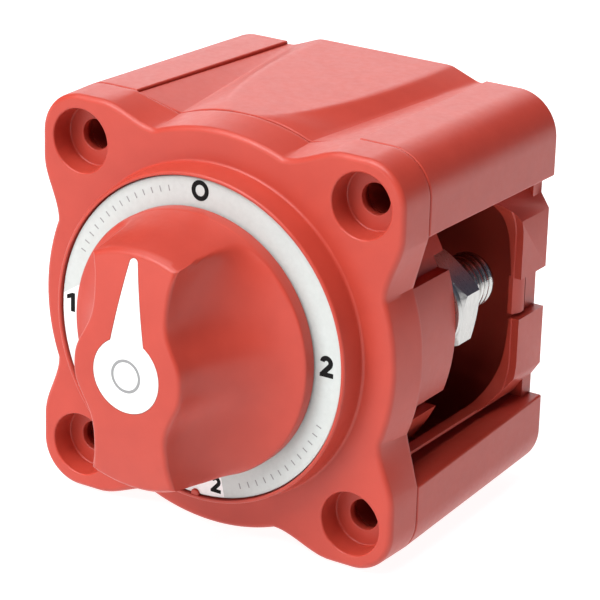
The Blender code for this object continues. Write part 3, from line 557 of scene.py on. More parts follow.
def counterbore(bm, x, z):
    """Cutter with a rounded mouth, a filleted floor, the screw's hole and the wider bore behind."""
    mouth = 0.32
    draft = 0.06
    fillet = 0.3
    lip = 0.2
    profile = [(BORE_RADIUS + mouth, -1.0)]
    profile += [(BORE_RADIUS + out, down) for out, down in rounding(mouth, 4)]
    profile += [(BORE_RADIUS - draft - inward, BORE_DEPTH - up) for up, inward in rounding(fillet, 4)]
    profile += [(HOLE_RADIUS + out, BORE_DEPTH + down) for out, down in rounding(lip, 3)]
    profile += [(HOLE_RADIUS, FLOOR_BACK), (RAIL_BORE, FLOOR_BACK + 0.01), (RAIL_BORE, PLATE_BACK + 1.0)]
    lathe(bm, profile, 72, x, z)


def key_peg(bm):
    """Small round key that stands in the label ring's notch."""
    top = COLLAR_TOP + 0.15
    profile = [(KEY_RADIUS, -2.0), (KEY_RADIUS, top + 0.15), (KEY_RADIUS - 0.1, top)]
    lathe(bm, profile, 40, 0.0, -KEY_OFFSET)


def rotor_chamber(bm):
    """Hole for the stem, then room for the rotor, then the recess for the spigot."""
    profile = [(STEM_HOLE, -6.0), (STEM_HOLE, CHAMBER_FRONT + 0.001), (CHAMBER_RADIUS, CHAMBER_FRONT),
               (CHAMBER_RADIUS, SPIGOT_SEAT - 0.001), (SPIGOT_BORE, SPIGOT_SEAT),
               (SPIGOT_BORE, PLATE_BACK + 1)]
    lathe(bm, profile, 72)


def build_front_housing():
    housing = plate_blank()
    bm = bmesh.new()
    lathe(bm, collar_profile(), 180)
    carve(housing, bm, "UNION")
    bm = bmesh.new()
    recess_cutter(bm)
    carve(housing, bm)
    bm = bmesh.new()
    for sx, sz in corners():
        counterbore(bm, sx * HOLE_OFFSET, sz * HOLE_OFFSET)
    carve(housing, bm)
    bm = bmesh.new()
    key_peg(bm)
    carve(housing, bm, "UNION")
    bm = bmesh.new()
    rotor_chamber(bm)
    carve(housing, bm)
    clean(housing)
    finish(housing, RED, FIXED, "front_housing", slot="red_plastic", angle=28)


# --------------------------------------------------------------- label ring

def build_label_ring():
    edge = 0.08
    profile = [(RING_INNER, RING_FRONT + edge), (RING_INNER + edge, RING_FRONT),
               (RING_OUTER - edge, RING_FRONT), (RING_OUTER, RING_FRONT + edge),
               (RING_OUTER, RING_BACK), (RING_INNER, RING_BACK)]
    bm = bmesh.new()
    lathe(bm, profile, 180, hollow=True)
    ring = solid(bm, "label_ring_plate")
    bm = bmesh.new()
    notch_radius = KEY_RADIUS + KEY_SLACK
    lathe(bm, [(notch_radius, -6.0), (notch_radius, -3.0)], 40, 0.0, -KEY_OFFSET - 0.1)
    carve(ring, bm)
    finish(ring, LABEL, FIXED, "label_ring", slot="white_print")


def print_shape(outlines, name, material, lift):
    """Printed marks as a thin film of ink on the label ring."""
    bm = bmesh.new()
    for outline in outlines:
        prism(bm, outline, RING_FRONT - lift, RING_FRONT + 0.03)
    mark = solid(bm, name)
    finish(mark, material, FIXED)


def ring_outline(cx, cz, wide, high, stroke):
    """Outer and inner loops of a printed oval ring, as one band."""
    outer = []
    inner = []
    for x, z in arc(0, 0, 1, 0, 360, 48):
        outer.append((cx + wide / 2 * x, cz + high / 2 * z))
        inner.append((cx + (wide / 2 - stroke) * x, cz + (high / 2 - stroke) * z))
    return outer + list(reversed(inner))


def two_outline(x, z, height):
    """Heavy figure two with a round head and a straight neck."""
    outer = 0.335
    inner = 0.1
    head = (outer, 1 - outer)
    points = [(0.0, 0.0), (0.70, 0.0), (0.70, 0.225), (0.39, 0.225)]
    points += arc(*head, outer, -38, 172, 22)
    points += arc(*head, inner, 172, -40, 12)
    points += [(0.0, 0.15)]
    return [(x + px * height, z + pz * height) for px, pz in points]


def one_outline(x, z, height):
    """Heavy figure one with a slanted flag."""
    points = [(0.24, 0.0), (0.50, 0.0), (0.50, 1.0), (0.30, 1.0), (0.0, 0.84), (0.0, 0.62), (0.24, 0.71)]
    return [(x + px * height, z + pz * height) for px, pz in points]


def plus_outline(cx, cz, size, stroke):
    long = size / 2
    short = stroke / 2
    arm = [(-long, -short), (-short, -short), (-short, -long)]
    outline = []
    for _ in range(4):
        outline += [(cx + x, cz + z) for x, z in arm]
        arm = [(-z, x) for x, z in arm]
    return outline


def white_sector():
    """White ground under 1 and 1+2, from just above the 1 round to the right of the bottom."""
    under_knob = 21.5
    return arc(0, 0, RING_OUTER - 0.12, 176, 282, 40) + arc(0, 0, under_knob, 282, 164, 40)


def build_dial_print():
    """Numbers, a plain ring for off, and ticks where the small print was."""
    print_shape([white_sector()], "dial_white_sector", LABEL_WHITE, 0.008)
    figures = [two_outline(23.1, -0.7, 3.6), one_outline(-26.3, -1.1, 3.3),
               one_outline(-3.6, -26.0, 2.9), plus_outline(0.3, -24.4, 1.9, 0.55),
               two_outline(2.9, -26.0, 2.9), ring_outline(-0.1, 25.1, 3.3, 3.45, 0.78)]
    print_shape(figures, "dial_figures", BLACK_INK, 0.02)
    ticks = []
    for first, last, step in ((104, 160, 4), (-22, -74, -4)):
        for degrees in range(first, last, step):
            ticks.append(tick(degrees, 24.6, 25.6, 0.22))
    print_shape(ticks, "dial_ticks", GREY_INK, 0.015)


def tick(degrees, inner, outer, width):
    angle = math.radians(degrees)
    out = Vector((math.cos(angle), math.sin(angle)))
    side = Vector((-out.y, out.x)) * width / 2
    return [tuple(out * inner - side), tuple(out * outer - side),
            tuple(out * outer + side), tuple(out * inner + side)]


# --------------------------------------------------------------------- knob

def grip_half_width(z):
    """Half width of the grip's face at height z: wide at the hub, waisted, then flared."""
    bulge = GRIP_BULGE * math.exp(-(abs(z) / GRIP_BULGE_REACH) ** 2.6)
    flare = GRIP_FLARE * (abs(z) / GRIP_END) ** 6
    return GRIP_WAIST + bulge + flare


def face_depth(z):
    """Depth of the grip's domed face at height z."""
    return KNOB_FRONT + KNOB_DOME * z * z


def scoop_half_width(z, rise):
    """Half width of the grip at height z: a quarter ellipse from rim to face."""
    narrow = grip_half_width(z)
    spread = math.sqrt(max(KNOB_RADIUS ** 2 - z * z, 0.0)) + 1.2 - narrow
    return narrow + max(spread, 0.0) * (1 - math.sqrt(max(1 - (1 - rise) ** 2, 0.0)))


def knob_radius(angle, rise, shrink):
    """Distance of the knob's skin from its axis; rise is 0 at the rim, 1 at the face."""
    across = abs(math.cos(angle))
    along = abs(math.sin(angle))
    low = 0.0
    high = KNOB_RADIUS
    for _ in range(22):                 # halves the interval until it closes on the scoop
        radius = (low + high) / 2
        if radius * across < scoop_half_width(radius * along, rise) - shrink:
            low = radius
        else:
            high = radius
    skin = lerp(KNOB_RADIUS, KNOB_TIP_RADIUS, rise) - shrink
    soft = lerp(0.3, 0.9, min(rise * 4, 1.0))
    gap = math.sqrt((skin - low) ** 2 + soft * soft)
    return (skin + low - gap) / 2


def knob_section(angles, rise, shrink=0.0):
    section = []
    for angle in angles:
        radius = knob_radius(angle, rise, shrink)
        section.append((radius * math.cos(angle), radius * math.sin(angle)))
    return section


def knob_blank():
    """Skin from the round rim, over the scoops, to the domed face of the grip."""
    count = 336
    angles = [-2 * math.pi * i / count for i in range(count)]
    rings = []
    for radius, depth in ((KNOB_RADIUS - 0.5, KNOB_BACK), (KNOB_RADIUS - 0.1, KNOB_BACK - 0.1),
                          (KNOB_RADIUS, KNOB_BACK - 0.3), (KNOB_RADIUS, KNOB_RIM + 1.2),
                          (KNOB_RADIUS, KNOB_RIM + 0.25)):
        rings.append([at(radius * math.cos(a), depth, radius * math.sin(a)) for a in angles])
    # closest together near the rim, where the scoops bend most
    rises = [0.0, 0.006, 0.014, 0.026, 0.042, 0.062, 0.088, 0.12, 0.16, 0.21, 0.27, 0.34, 0.42,
             0.51, 0.61, 0.71, 0.80, 0.88, 1 - KNOB_ROUND / (KNOB_RIM - KNOB_FRONT)]
    for rise in rises:
        section = knob_section(angles, rise)
        rings.append([at(x, lerp(KNOB_RIM, face_depth(z), rise), z) for x, z in section])
    for shrink, drop in reversed(rounding(KNOB_ROUND, 6)[:-1]):
        section = knob_section(angles, 1.0, shrink)
        rings.append([at(x, face_depth(z) + drop, z) for x, z in section])
    face = knob_section(angles, 1.0, KNOB_ROUND)
    for scale in (0.93, 0.82, 0.68, 0.52, 0.36, 0.2, 0.08):
        rings.append([at(x * scale, face_depth(z * scale), z * scale) for x, z in face])
    bm = bmesh.new()
    loft(bm, rings)
    return solid(bm, "knob_moulding")


def build_knob():
    knob = knob_blank()
    bm = bmesh.new()
    box(bm, (-SOCKET_HALF, SOCKET_FRONT, -SOCKET_HALF), (SOCKET_HALF, -4.0, SOCKET_HALF))
    carve(knob, bm)
    bm = bmesh.new()
    lathe(bm, [(KNOB_SCREW_WELL, -24.0), (KNOB_SCREW_WELL, KNOB_SCREW_SEAT - 0.001),
               (KNOB_SCREW_HOLE, KNOB_SCREW_SEAT), (KNOB_SCREW_HOLE, SOCKET_FRONT + 0.8)], 40)
    carve(knob, bm)
    pocket = pointer_solid("pointer_pocket", 0.09, -2.0, 1.2)
    bm = bmesh.new()
    bm.from_mesh(pocket.data)
    bpy.data.objects.remove(pocket)
    carve(knob, bm)
    finish(knob, RED, TURNING, "knob", slot="red_plastic", angle=62)


def pointer_outline(grow):
    """Round hub with a straight tapered finger that ends in a small round tip."""
    root = POINTER_ROOT + grow
    hub = POINTER_HUB + grow
    tip = POINTER_TIP + grow
    start = math.degrees(math.acos(root / hub))
    root_z = hub * math.sin(math.radians(start))
    tip_z = POINTER_LENGTH - POINTER_TIP
    side = [(lerp(root, tip, i / 6), lerp(root_z, tip_z, i / 6)) for i in range(1, 6)]
    points = arc(0, 0, hub, start, -180 - start, 64) + [(-x, z) for x, z in side]
    return points + arc(0, tip_z, tip, 180, 0, 12) + list(reversed(side))


def domed_layer(bm, half_width, half_height, steps, front, back):
    """Layer between two depths below the knob's domed face."""
    curve = [lerp(-half_height, half_height, i / steps) for i in range(steps + 1)]
    rings = []
    for x in (-half_width, half_width):
        ring = [at(x, face_depth(z) + front, z) for z in curve]
        ring += [at(x, face_depth(z) + back, z) for z in reversed(curve)]
        rings.append(ring)
    loft(bm, rings)


def pointer_solid(name, grow, front, back):
    """Pointer outline between two depths below the domed face of the knob."""
    bm = bmesh.new()
    prism(bm, pointer_outline(grow), KNOB_FRONT - 3, KNOB_FRONT + 6)
    blank = solid(bm, name)
    bm = bmesh.new()
    domed_layer(bm, 10, 21, 60, front, back)
    carve(blank, bm, "INTERSECT")
    return blank


def build_pointer():
    """White insert, with a plain thin ring printed on its hub."""
    pointer = pointer_solid("pointer_insert", 0.0, 0.03, 1.0)
    finish(pointer, POINTER_WHITE, TURNING, "knob_pointer", slot="white_print")
    bm = bmesh.new()
    prism(bm, ring_outline(0, 0, 5.6, 5.6, 0.5), KNOB_FRONT - 1, KNOB_FRONT + 1)
    mark = solid(bm, "pointer_ring_mark")
    bm = bmesh.new()
    domed_layer(bm, 4, 4, 16, 0.015, 0.06)
    carve(mark, bm, "INTERSECT")
    finish(mark, GREY_INK, TURNING)


# --------------------------------------------------------------- rear cover

def cover_octant(share):
    """From the middle of a side, over the rail's edge, to the corner."""
    half = lerp(HALF_WIDTH, HALF_WIDTH_REAR, share)
    gap = lerp(RAIL_GAP_FRONT, RAIL_GAP_REAR, share)
    centre = half - CORNER_RADIUS
    edge = 0.35
    points = [(0.0, SIDE_FACE), (gap, SIDE_FACE)]
    points += [(x, z) for x, z in arc(gap + edge, half - edge, edge, 180, 90, 4)]
    points += [(lerp(gap + edge, centre, i / 4), half) for i in range(1, 4)]
    return points + arc(centre, centre, CORNER_RADIUS, 90, 45, 14)


def cover_blank():
    """Body of the cover, from the seam to the rear face, with rounded ends."""
    front = PLATE_BACK + SEAM_GAP
    seam = fourfold(cover_octant(0.0))
    rear = fourfold(cover_octant(1.0))
    rings = []
    for shrink, rise in rounding(SEAM_ROUND, 3):
        rings.append([at(x, front + rise, z) for x, z in inset(seam, shrink)])
    for share in (0.25, 0.5, 0.75):
        depth = lerp(front, BODY_DEPTH, share)
        rings.append([at(x, depth, z) for x, z in fourfold(cover_octant(share))])
    for shrink, rise in reversed(rounding(SEAM_ROUND, 3)):
        rings.append([at(x, BODY_DEPTH - rise, z) for x, z in inset(rear, shrink)])
    bm = bmesh.new()
    loft(bm, rings)
    return solid(bm, "rear_cover_shell")


def rim(bm):
    """Raised trapezoid behind the window, from side face to rear face."""
    outline = [(-RIM_FOOT, SIDE_FACE - 1), (-RIM_FOOT, SIDE_FACE), (-RIM_FLAT, RIM_FACE),
               (RIM_FLAT, RIM_FACE), (RIM_FOOT, SIDE_FACE), (RIM_FOOT, SIDE_FACE - 1)]
    prism(bm, outline, RIM_FRONT, BODY_DEPTH)


def end_wall(bm):
    """Wall that closes the channels at the back, between the rails."""
    edge = RAIL_GAP_REAR + 0.3
    box(bm, (-edge, END_FRONT, SIDE_FACE - 1), (edge, BODY_DEPTH, END_FACE))


def notch(bm):
    """Notch in the rim for a panel's hook."""
    box(bm, (-NOTCH_HALF, WINDOW_BACK - 1, NOTCH_FACE), (NOTCH_HALF, BODY_DEPTH + 1, RIM_FACE + 1))


def catch(bm):
    """Wedge in the notch that a panel snaps over."""
    front = WINDOW_BACK + 0.02
    root = NOTCH_FACE - 0.5
    crest = NOTCH_FACE + 1.05
    section = [(front, root), (front, NOTCH_FACE + 0.3), (front + 1.48, crest),
               (front + 2.88, crest), (front + 3.18, root)]
    loft(bm, [[at(x, depth, z) for depth, z in section] for x in (-NOTCH_HALF - 0.2, NOTCH_HALF - 0.7)])


def grooves(bm):
    """Grooves for a panel's skirts, one beside each rail."""
    front = PLATE_BACK
    for side in (-1, 1):
        rings = []
        for depth in (front - 1, END_FRONT):
            gap = lerp(RAIL_GAP_FRONT, RAIL_GAP_REAR, (depth - front) / (BODY_DEPTH - front)) - 0.005
            section = [(GROOVE_INNER, GROOVE_FLOOR), (gap, GROOVE_FLOOR),
                       (gap, END_FACE + 1), (GROOVE_INNER, END_FACE + 1)]
            rings.append([at(side * x, depth, z) for x, z in section])
        loft(bm, rings)


def window_outline(shrink):
    """Window with two round corners at the rear, open towards the plate."""
    back = WINDOW_BACK - WINDOW_CORNER
    side = WINDOW_HALF - WINDOW_CORNER
    radius = WINDOW_CORNER - shrink
    outline = [(shrink - WINDOW_HALF, PLATE_BACK - 1), (WINDOW_HALF - shrink, PLATE_BACK - 1)]
    return outline + arc(side, back, radius, 0, 90, 14) + arc(-side, back, radius, 90, 180, 14)


def window_cutter(bm, along_x):
    """Opposite pair of windows, each with a fine step part way in."""
    outside = 40
    inner = WINDOW_STEP - 0.12
    step = 0.25
    rings = []
    for end, shrink in ((-outside, 0), (-WINDOW_STEP, 0), (-inner, step),
                        (inner, step), (WINDOW_STEP, 0), (outside, 0)):
        if along_x:
            rings.append([at(end, depth, across) for across, depth in window_outline(shrink)])
        else:
            rings.append([at(across, depth, end) for across, depth in window_outline(shrink)])
    loft(bm, rings)


def cavity(bm):
    """Room for the wiring: nearly round, a little fuller at the corners."""
    count = 144
    fillet = 1.2
    rings = []
    for depth, shrink in ((PLATE_BACK - 1, 0.0), (CAVITY_END - fillet, 0.0),
                          (CAVITY_END - 0.4, 0.35), (CAVITY_END, fillet)):
        ring = []
        for i in range(count):
            angle = 2 * math.pi * i / count
            radius = CAVITY_RADIUS + CAVITY_CORNER * math.sin(2 * angle) ** 2 - shrink
            ring.append(at(radius * math.cos(angle), depth, radius * math.sin(angle)))
        rings.append(ring)
    loft(bm, rings)


def rail_bore(bm, x, z):
    """Bore along a rail, then the screw's hole through the rear wall."""
    mouth = HOLE_RADIUS + 0.25
    profile = [(RAIL_BORE, PLATE_BACK - 1), (RAIL_BORE, RAIL_BORE_END),
               (HOLE_RADIUS, RAIL_BORE_END + 0.01), (HOLE_RADIUS, BODY_DEPTH - 0.25),
               (mouth, BODY_DEPTH), (mouth, BODY_DEPTH + 1)]
    lathe(bm, profile, 40, x, z)


def build_rear_cover():
    cover = cover_blank()
    bm = bmesh.new()
    four_sides(bm, rim)
    carve(cover, bm, "UNION")
    bm = bmesh.new()
    four_sides(bm, end_wall)
    carve(cover, bm, "UNION")
    bm = bmesh.new()
    cavity(bm)
    carve(cover, bm)
    for along_x in (True, False):
        bm = bmesh.new()
        window_cutter(bm, along_x)
        carve(cover, bm)
    bm = bmesh.new()
    four_sides(bm, notch)
    carve(cover, bm)
    bm = bmesh.new()
    turned(bm, catch, math.pi / 2)
    carve(cover, bm, "UNION")
    bm = bmesh.new()
    four_sides(bm, grooves)
    carve(cover, bm)
    bm = bmesh.new()
    for sx, sz in corners():
        rail_bore(bm, sx * HOLE_OFFSET, sz * HOLE_OFFSET)
    carve(cover, bm)
    clean(cover)
    soften(cover, 0.16, 2, 40)
    finish(cover, RED, FIXED, "rear_cover", slot="red_plastic")


# ------------------------------------------------------------------- panels

def panel_edge(share):
    """Half width of a panel; share is 0 at the seam and 1 at the rear, here and below."""
    return lerp(RAIL_GAP_FRONT, RAIL_GAP_REAR, share) - PANEL_GAP


def ridge_half(share):
    """Half width of the flat ridge: in plan its edge is a quarter ellipse."""
    narrowest = 0.3
    return narrowest + (RIDGE_HALF - narrowest) * math.sqrt(1 - (1 - share) ** 2)


def foot_half(share):
    return lerp(SEAM_VALLEY, FOOT_HALF, share)


def panel_height(x, share):
    """Outer skin: round at the seam, a flat-topped ridge at the rear."""
    ridge = lerp(HALF_WIDTH, RIDGE_REAR, share)
    foot = lerp(FOOT_FRONT, FOOT_REAR, share)
    edge = lerp(EDGE_FRONT, FOOT_REAR, share)
    reach = abs(x)
    if reach <= ridge_half(share):
        return ridge
    if reach <= foot_half(share):
        fall = (reach - ridge_half(share)) / (foot_half(share) - ridge_half(share))
        straight = smooth(share / 0.2)
        return foot + (ridge - foot) * lerp(1 - fall * fall, 1 - fall, straight)
    return lerp(foot, edge, (reach - foot_half(share)) / (panel_edge(share) - foot_half(share)))


def panel_skin(x, share):
    """The same height with its creases rounded."""
    reach = min(abs(x), panel_edge(share) - CREASE_ROUND)
    nearby = [panel_height(reach + CREASE_ROUND * i / 3, share) for i in range(-3, 4)]
    return sum(nearby) / len(nearby)


def panel_stations(share):
    """Places across half a panel, closest together where the skin bends."""
    ridge = ridge_half(share)
    foot = foot_half(share)
    edge = panel_edge(share)
    half = [ridge * part for part in (0.2, 0.4, 0.6, 0.8, 0.9, 0.95)]
    slope = [0, 0.06, 0.13] + [i / 10 for i in range(2, 11)]
    half += [lerp(ridge, foot, part) for part in slope]
    half += [lerp(foot, edge - 0.2, i / 3) for i in range(1, 4)]
    return half


def panel_section(share, thickness, skirt):
    """Closed outline across a panel: outer skin, inner skin and two skirts down to a height."""
    half = panel_stations(share)
    edge = panel_edge(share)
    across = [-x for x in reversed(half)] + [0.0] + half
    outer = [(x, panel_skin(x, share)) for x in across]
    lip = panel_skin(edge, share)
    left = [(-edge, skirt), (-edge, lip - 0.2), (-edge + 0.05, lip - 0.05)]
    right = [(-x, z) for x, z in reversed(left)]
    inner_edge = edge - 1.4
    inner_half = [min(x, inner_edge - 0.02 * (len(half) - i)) for i, x in enumerate(half)]
    inner_across = [-x for x in reversed(inner_half)] + [0.0] + inner_half
    inner = [(x, panel_skin(x, share) - thickness) for x in inner_across]
    inner = [(-inner_edge, skirt), (-inner_edge, inner[0][1])] + inner
    inner += [(inner_edge, inner[-1][1]), (inner_edge, skirt)]
    return left + outer + right + list(reversed(inner))


def panel_hook(bm):
    """Block under a panel that fills the rim's notch."""
    slack = 0.3
    half = NOTCH_HALF - slack
    box(bm, (-half, 45.0, NOTCH_FACE + slack), (half, BODY_DEPTH - slack, 34.3))


def build_panel(name, turn):
    """Snap-in panel with a hook at the rear, modelled on top and turned to its side."""
    front = PLATE_BACK + SEAM_GAP
    edge = 0.2                          # rounding of both ends
    deep = (1.15, 30.35)                # thickness, and height of the skirts' foot
    shallow = (0.9, END_FACE + 0.2)
    depths = [front, front + 0.06, front + edge]
    depths += [lerp(front + edge, PANEL_STEP - 0.1, i / 16) for i in range(1, 17)]
    depths += [PANEL_STEP + 0.1, 42.0, 45.0, 48.0, BODY_DEPTH - edge, BODY_DEPTH - 0.06, BODY_DEPTH]
    rings = []
    for depth in depths:
        share = (depth - front) / (BODY_DEPTH - front)
        thickness, skirt = deep if depth < PANEL_STEP else shallow
        end = min(depth - front, BODY_DEPTH - depth, edge)
        drop = edge - math.sqrt(max(edge ** 2 - (edge - end) ** 2, 0.0))
        section = panel_section(share, thickness, skirt)
        top = len(panel_stations(share)) * 2 + 7
        ring = []
        for i, (x, z) in enumerate(section):
            ring.append(at(x, depth, z - (drop if i < top else 0.0)))
        rings.append(ring)
    bm = bmesh.new()
    loft(bm, rings)
    bmesh.ops.rotate(bm, verts=bm.verts, cent=(0, 0, 0), matrix=Matrix.Rotation(turn, 3, "Y"))
    panel = solid(bm, name + "_moulding")
    bm = bmesh.new()
    turned(bm, panel_hook, turn)
    carve(panel, bm, "UNION")
    finish(panel, RED, FIXED, name, slot="red_plastic", angle=16)


# ---------------------------------------------------------- contact housing

def slot_angle(across, radius):
    """Angle at which a circle stands this far across from the top."""
    return 90 - math.degrees(math.asin(across / radius))


def pad_rooms(bm):
    """Rooms for the three contact pads, beside the chamber."""
    front = PLATE_BACK - 0.75
    inner = 15.0
    reach = PAD_REACH + PAD_SLACK
    half = COMMON_PAD_HALF + PAD_SLACK
    for side in (-1, 1):
        low, high = sorted((side * inner, side * reach))
        box(bm, (low, front, PAD_LOW - PAD_SLACK), (high, BLOCK_FLOOR, PAD_HIGH + PAD_SLACK))
    box(bm, (-half, front, -reach), (half, BLOCK_FLOOR, -inner))


def build_contact_housing():
    """Round block with a pair of slots beside the arm on each side."""
    octant = arc(0, 0, BLOCK_RADIUS, 90, slot_angle(SLOT_INNER, BLOCK_RADIUS), 12)
    octant += arc(0, 0, SLOT_RADIUS, slot_angle(SLOT_INNER, SLOT_RADIUS),
                  slot_angle(SLOT_OUTER, SLOT_RADIUS), 2)
    octant += arc(0, 0, BLOCK_RADIUS, slot_angle(SLOT_OUTER, BLOCK_RADIUS), 45, 12)
    bm = bmesh.new()
    prism(bm, fourfold(octant), PLATE_BACK + SEAM_GAP, BLOCK_BACK)
    housing = solid(bm, "contact_housing_moulding")
    bm = bmesh.new()
    lathe(bm, [(SPIGOT_RADIUS, 4.0), (SPIGOT_RADIUS, 10.0)], 72)
    carve(housing, bm, "UNION")
    bm = bmesh.new()
    lathe(bm, [(BLOCK_CHAMBER, 3.0), (BLOCK_CHAMBER, BLOCK_FLOOR)], 72)
    carve(housing, bm)
    bm = bmesh.new()
    pad_rooms(bm)
    carve(housing, bm)
    bm = bmesh.new()
    for x, z in TERMINALS.values():
        hole = STUD_RADIUS + STUD_SLACK
        lathe(bm, [(hole, BLOCK_FLOOR - 1), (hole, BLOCK_BACK + 1)], 48, x, z)
    for sx, sz in corners():
        lathe(bm, [(SCREW_HOLE, 7.0), (SCREW_HOLE, SCREW_SEAT + 0.01), (SCREW_POCKET, SCREW_SEAT),
                   (SCREW_POCKET, BLOCK_BACK + 1)], 40, sx * SCREW_OFFSET, sz * SCREW_OFFSET)
    carve(housing, bm)
    clean(housing)
    soften(housing, 0.35, 3, 40)
    finish(housing, RED, FIXED, "contact_housing", slot="red_plastic")


# ---------------------------------------------------------------- terminals

def thread_profile(turn):
    """Height of a sixty degree thread, from 0 at its root to 1 at its flat crest."""
    fall = abs(turn % 1.0 - 0.5) * 2
    return min(max((fall - 0.08) / 0.62, 0.0), 1.0)


def threaded_post(bm, x, z, start, end):
    """Threaded rod with a chamfered end."""
    around = 64
    per_turn = 20
    count = int((end - start) / STUD_PITCH * per_turn)
    rings = []
    for i in range(count + 1):
        depth = lerp(start, end, i / count)
        taper = STUD_RADIUS - STUD_CHAMFER + (end - depth) * 1.1
        ring = []
        for j in range(around):
            angle = 2 * math.pi * j / around
            turn = depth / STUD_PITCH - j / around
            radius = STUD_RADIUS - THREAD_DEPTH * (1 - thread_profile(turn))
            radius = min(radius, taper)
            ring.append(at(x + radius * math.cos(angle), depth, z + radius * math.sin(angle)))
        rings.append(ring)
    loft(bm, rings)


def build_stud(label, x, z):
    """Stud on its contact pad."""
    front = PAD_BACK - PAD_THICK
    bm = bmesh.new()
    if label == "common":
        box(bm, (-COMMON_PAD_HALF, front, -PAD_REACH), (COMMON_PAD_HALF, PAD_BACK, 3.0))
    else:
        side = math.copysign(1, x)
        low, high = sorted((side * 12.0, side * PAD_REACH))
        box(bm, (low, front, PAD_LOW), (high, PAD_BACK, PAD_HIGH))
    stud = solid(bm, "stud_thread_" + label)
    bm = bmesh.new()
    threaded_post(bm, x, z, PAD_BACK - 0.5, STUD_END)
    carve(stud, bm, "UNION")
    finish(stud, TIN, FIXED, "stud_" + label, slot="tin_plate", angle=50)


def build_washer(label, x, z):
    front = BLOCK_BACK + 0.05
    back = front + WASHER_THICK
    edge = 0.15
    hole = STUD_RADIUS + STUD_SLACK
    profile = [(hole, front), (WASHER_RADIUS - edge, front), (WASHER_RADIUS, front + edge),
               (WASHER_RADIUS, back - edge), (WASHER_RADIUS - edge, back), (hole + edge, back),
               (hole, back - edge)]
    bm = bmesh.new()
    lathe(bm, profile, 72, x, z, hollow=True)
    washer = solid(bm, "washer_face_" + label)
    finish(washer, STEEL, FIXED, "washer_" + label, slot="stainless_steel")


def build_nut(label, x, z):
    """Hexagon nut, its corners turned off to a cone on both faces."""
    front = BLOCK_BACK + WASHER_THICK + 0.1
    back = front + NUT_HEIGHT
    corner = NUT_FLATS / math.sqrt(3)
    bm = bmesh.new()
    prism(bm, arc(x, z, corner, NUT_TURN, NUT_TURN + 360, 6)[:-1], front, back)
    nut = solid(bm, "nut_hex_" + label)
    bm = bmesh.new()
    face = NUT_FLATS / 2 - 0.15
    slope = (corner - face) * 0.7
    outside = corner + 0.3
    lathe(bm, [(face, front), (outside, front + slope), (outside, back - slope), (face, back)], 96, x, z)
    carve(nut, bm, "INTERSECT")
    bm = bmesh.new()
    hole = STUD_RADIUS + 0.05
    chamfer = 0.6
    mouth = hole + chamfer
    lathe(bm, [(mouth, front - 1), (mouth, front), (hole, front + chamfer), (hole, back - chamfer),
               (mouth, back), (mouth, back + 1)], 64, x, z)
    carve(nut, bm)
    clean(nut)
    soften(nut, 0.12, 2, 25)
    finish(nut, STEEL, FIXED, "nut_" + label, slot="stainless_steel", angle=20)


# ------------------------------------------------------- kept CAD pieces

def dress_cad_nodes():
    """Better materials on the CAD solids that stay."""
    finishes = {
        "housing_gasket": RUBBER, "knob_screw": STEEL, "rotor": BLACK, "shaft_o_ring": RUBBER,
        "detent_spring": STEEL, "contact_bridge": COPPER, "contact_spring": STEEL,
    }
    for number in range(1, 5):
        finishes[f"housing_screw_{number}"] = STEEL
    for name, material in finishes.items():
        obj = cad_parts[name]
        obj.data.materials.clear()
        obj.data.materials.append(material)


# ------------------------------------------------------------------- studio

def build_floor():
    """Plain white floor, bright enough to run into a white background."""
    half = 1.6
    bm = bmesh.new()
    level = CAD_LOW.z - 0.0002
    square = ((-half, -half), (half, -half), (half, half), (-half, half))
    bm.faces.new([bm.verts.new((x, y, level)) for x, y in square])
    floor = solid(bm, "studio_floor")
    nodes = Nodes("studio_white")
    nodes.feed("Base Color", nodes.ramp(nodes.noise(6, 2), (0.36, 0.36, 0.36), (0.38, 0.38, 0.38)))
    nodes.fix("Roughness", 0.9)
    nodes.fix("Specular IOR Level", 0.1)
    nodes.fix("Emission Color", (1.0, 1.0, 1.0, 1.0))
    nodes.fix("Emission Strength", 0.92)
    floor.data.materials.append(nodes.material)


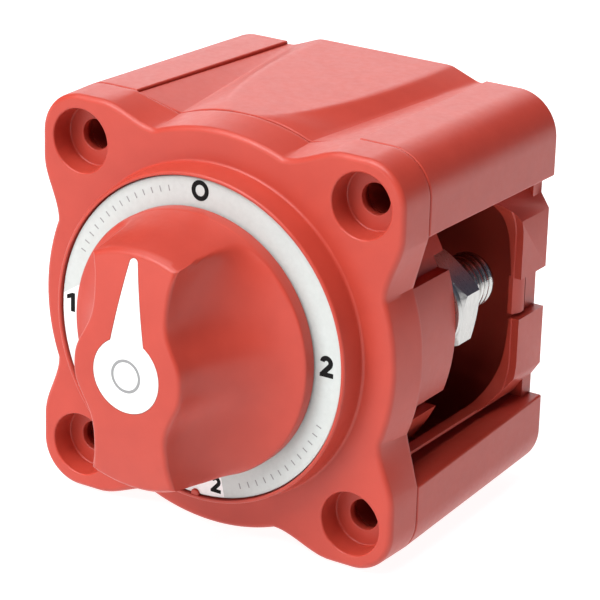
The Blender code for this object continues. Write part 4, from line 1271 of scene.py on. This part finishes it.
def build_world():
    """Dim and slightly cool room around the softboxes."""
    world = bpy.data.worlds.new("studio")
    bpy.context.scene.world = world
    world.use_nodes = True
    back = world.node_tree.nodes["Background"]
    back.inputs["Color"].default_value = (0.10, 0.11, 0.16, 1.0)
    back.inputs["Strength"].default_value = 0.7


def area_light(name, place, target, size, power):
    light = bpy.data.lights.new(name, "AREA")
    light.shape = "RECTANGLE"
    light.size, light.size_y = size
    light.energy = power
    obj = bpy.data.objects.new(name, light)
    obj.location = place
    obj.rotation_euler = (Vector(target) - Vector(place)).to_track_quat("-Z", "Y").to_euler()
    bpy.context.scene.collection.objects.link(obj)


def build_lights():
    target = (0, -0.03, 0)
    area_light("key_softbox", (-0.75, -1.15, 1.15), target, (0.9, 0.9), 10.5)
    area_light("front_softbox", (-0.1, -0.9, 1.3), target, (1.2, 0.9), 26)
    area_light("top_softbox", (-0.25, -0.15, 1.4), target, (1.2, 1.2), 12)
    area_light("low_fill", (-0.6, -1.6, 0.1), target, (0.9, 0.6), 6.5)
    area_light("back_panel", (-0.7, 1.1, 0.42), target, (1.2, 0.55), 4.7)
    area_light("dial_fill", (0.35, -1.5, -0.25), target, (0.8, 0.5), 5.0)


def build_camera():
    """Camera at the photograph's viewing angle."""
    data = bpy.data.cameras.new("camera")
    data.sensor_width = 36.0
    data.lens = 177.33
    camera = bpy.data.objects.new("camera", data)
    camera.location = (0.2490, -0.3688 + REAR_Y - BODY_DEPTH * MM, 0.1745)
    camera.rotation_euler = [math.radians(a) for a in (69.219, -1.552, 32.836)]
    bpy.context.scene.collection.objects.link(camera)
    bpy.context.scene.camera = camera


build_camera()
build_front_housing()
build_label_ring()
build_dial_print()
build_knob()
build_pointer()
build_rear_cover()
build_panel("top_panel", 0.0)
build_panel("left_panel", -math.pi / 2)
build_panel("bottom_panel", math.pi)
build_contact_housing()
for terminal, (tx, tz) in TERMINALS.items():
    build_stud(terminal, tx, tz)
    build_washer(terminal, tx, tz)
    build_nut(terminal, tx, tz)
dress_cad_nodes()
build_floor()
build_world()
build_lights()
bpy.context.scene.view_settings.view_transform = "Standard"
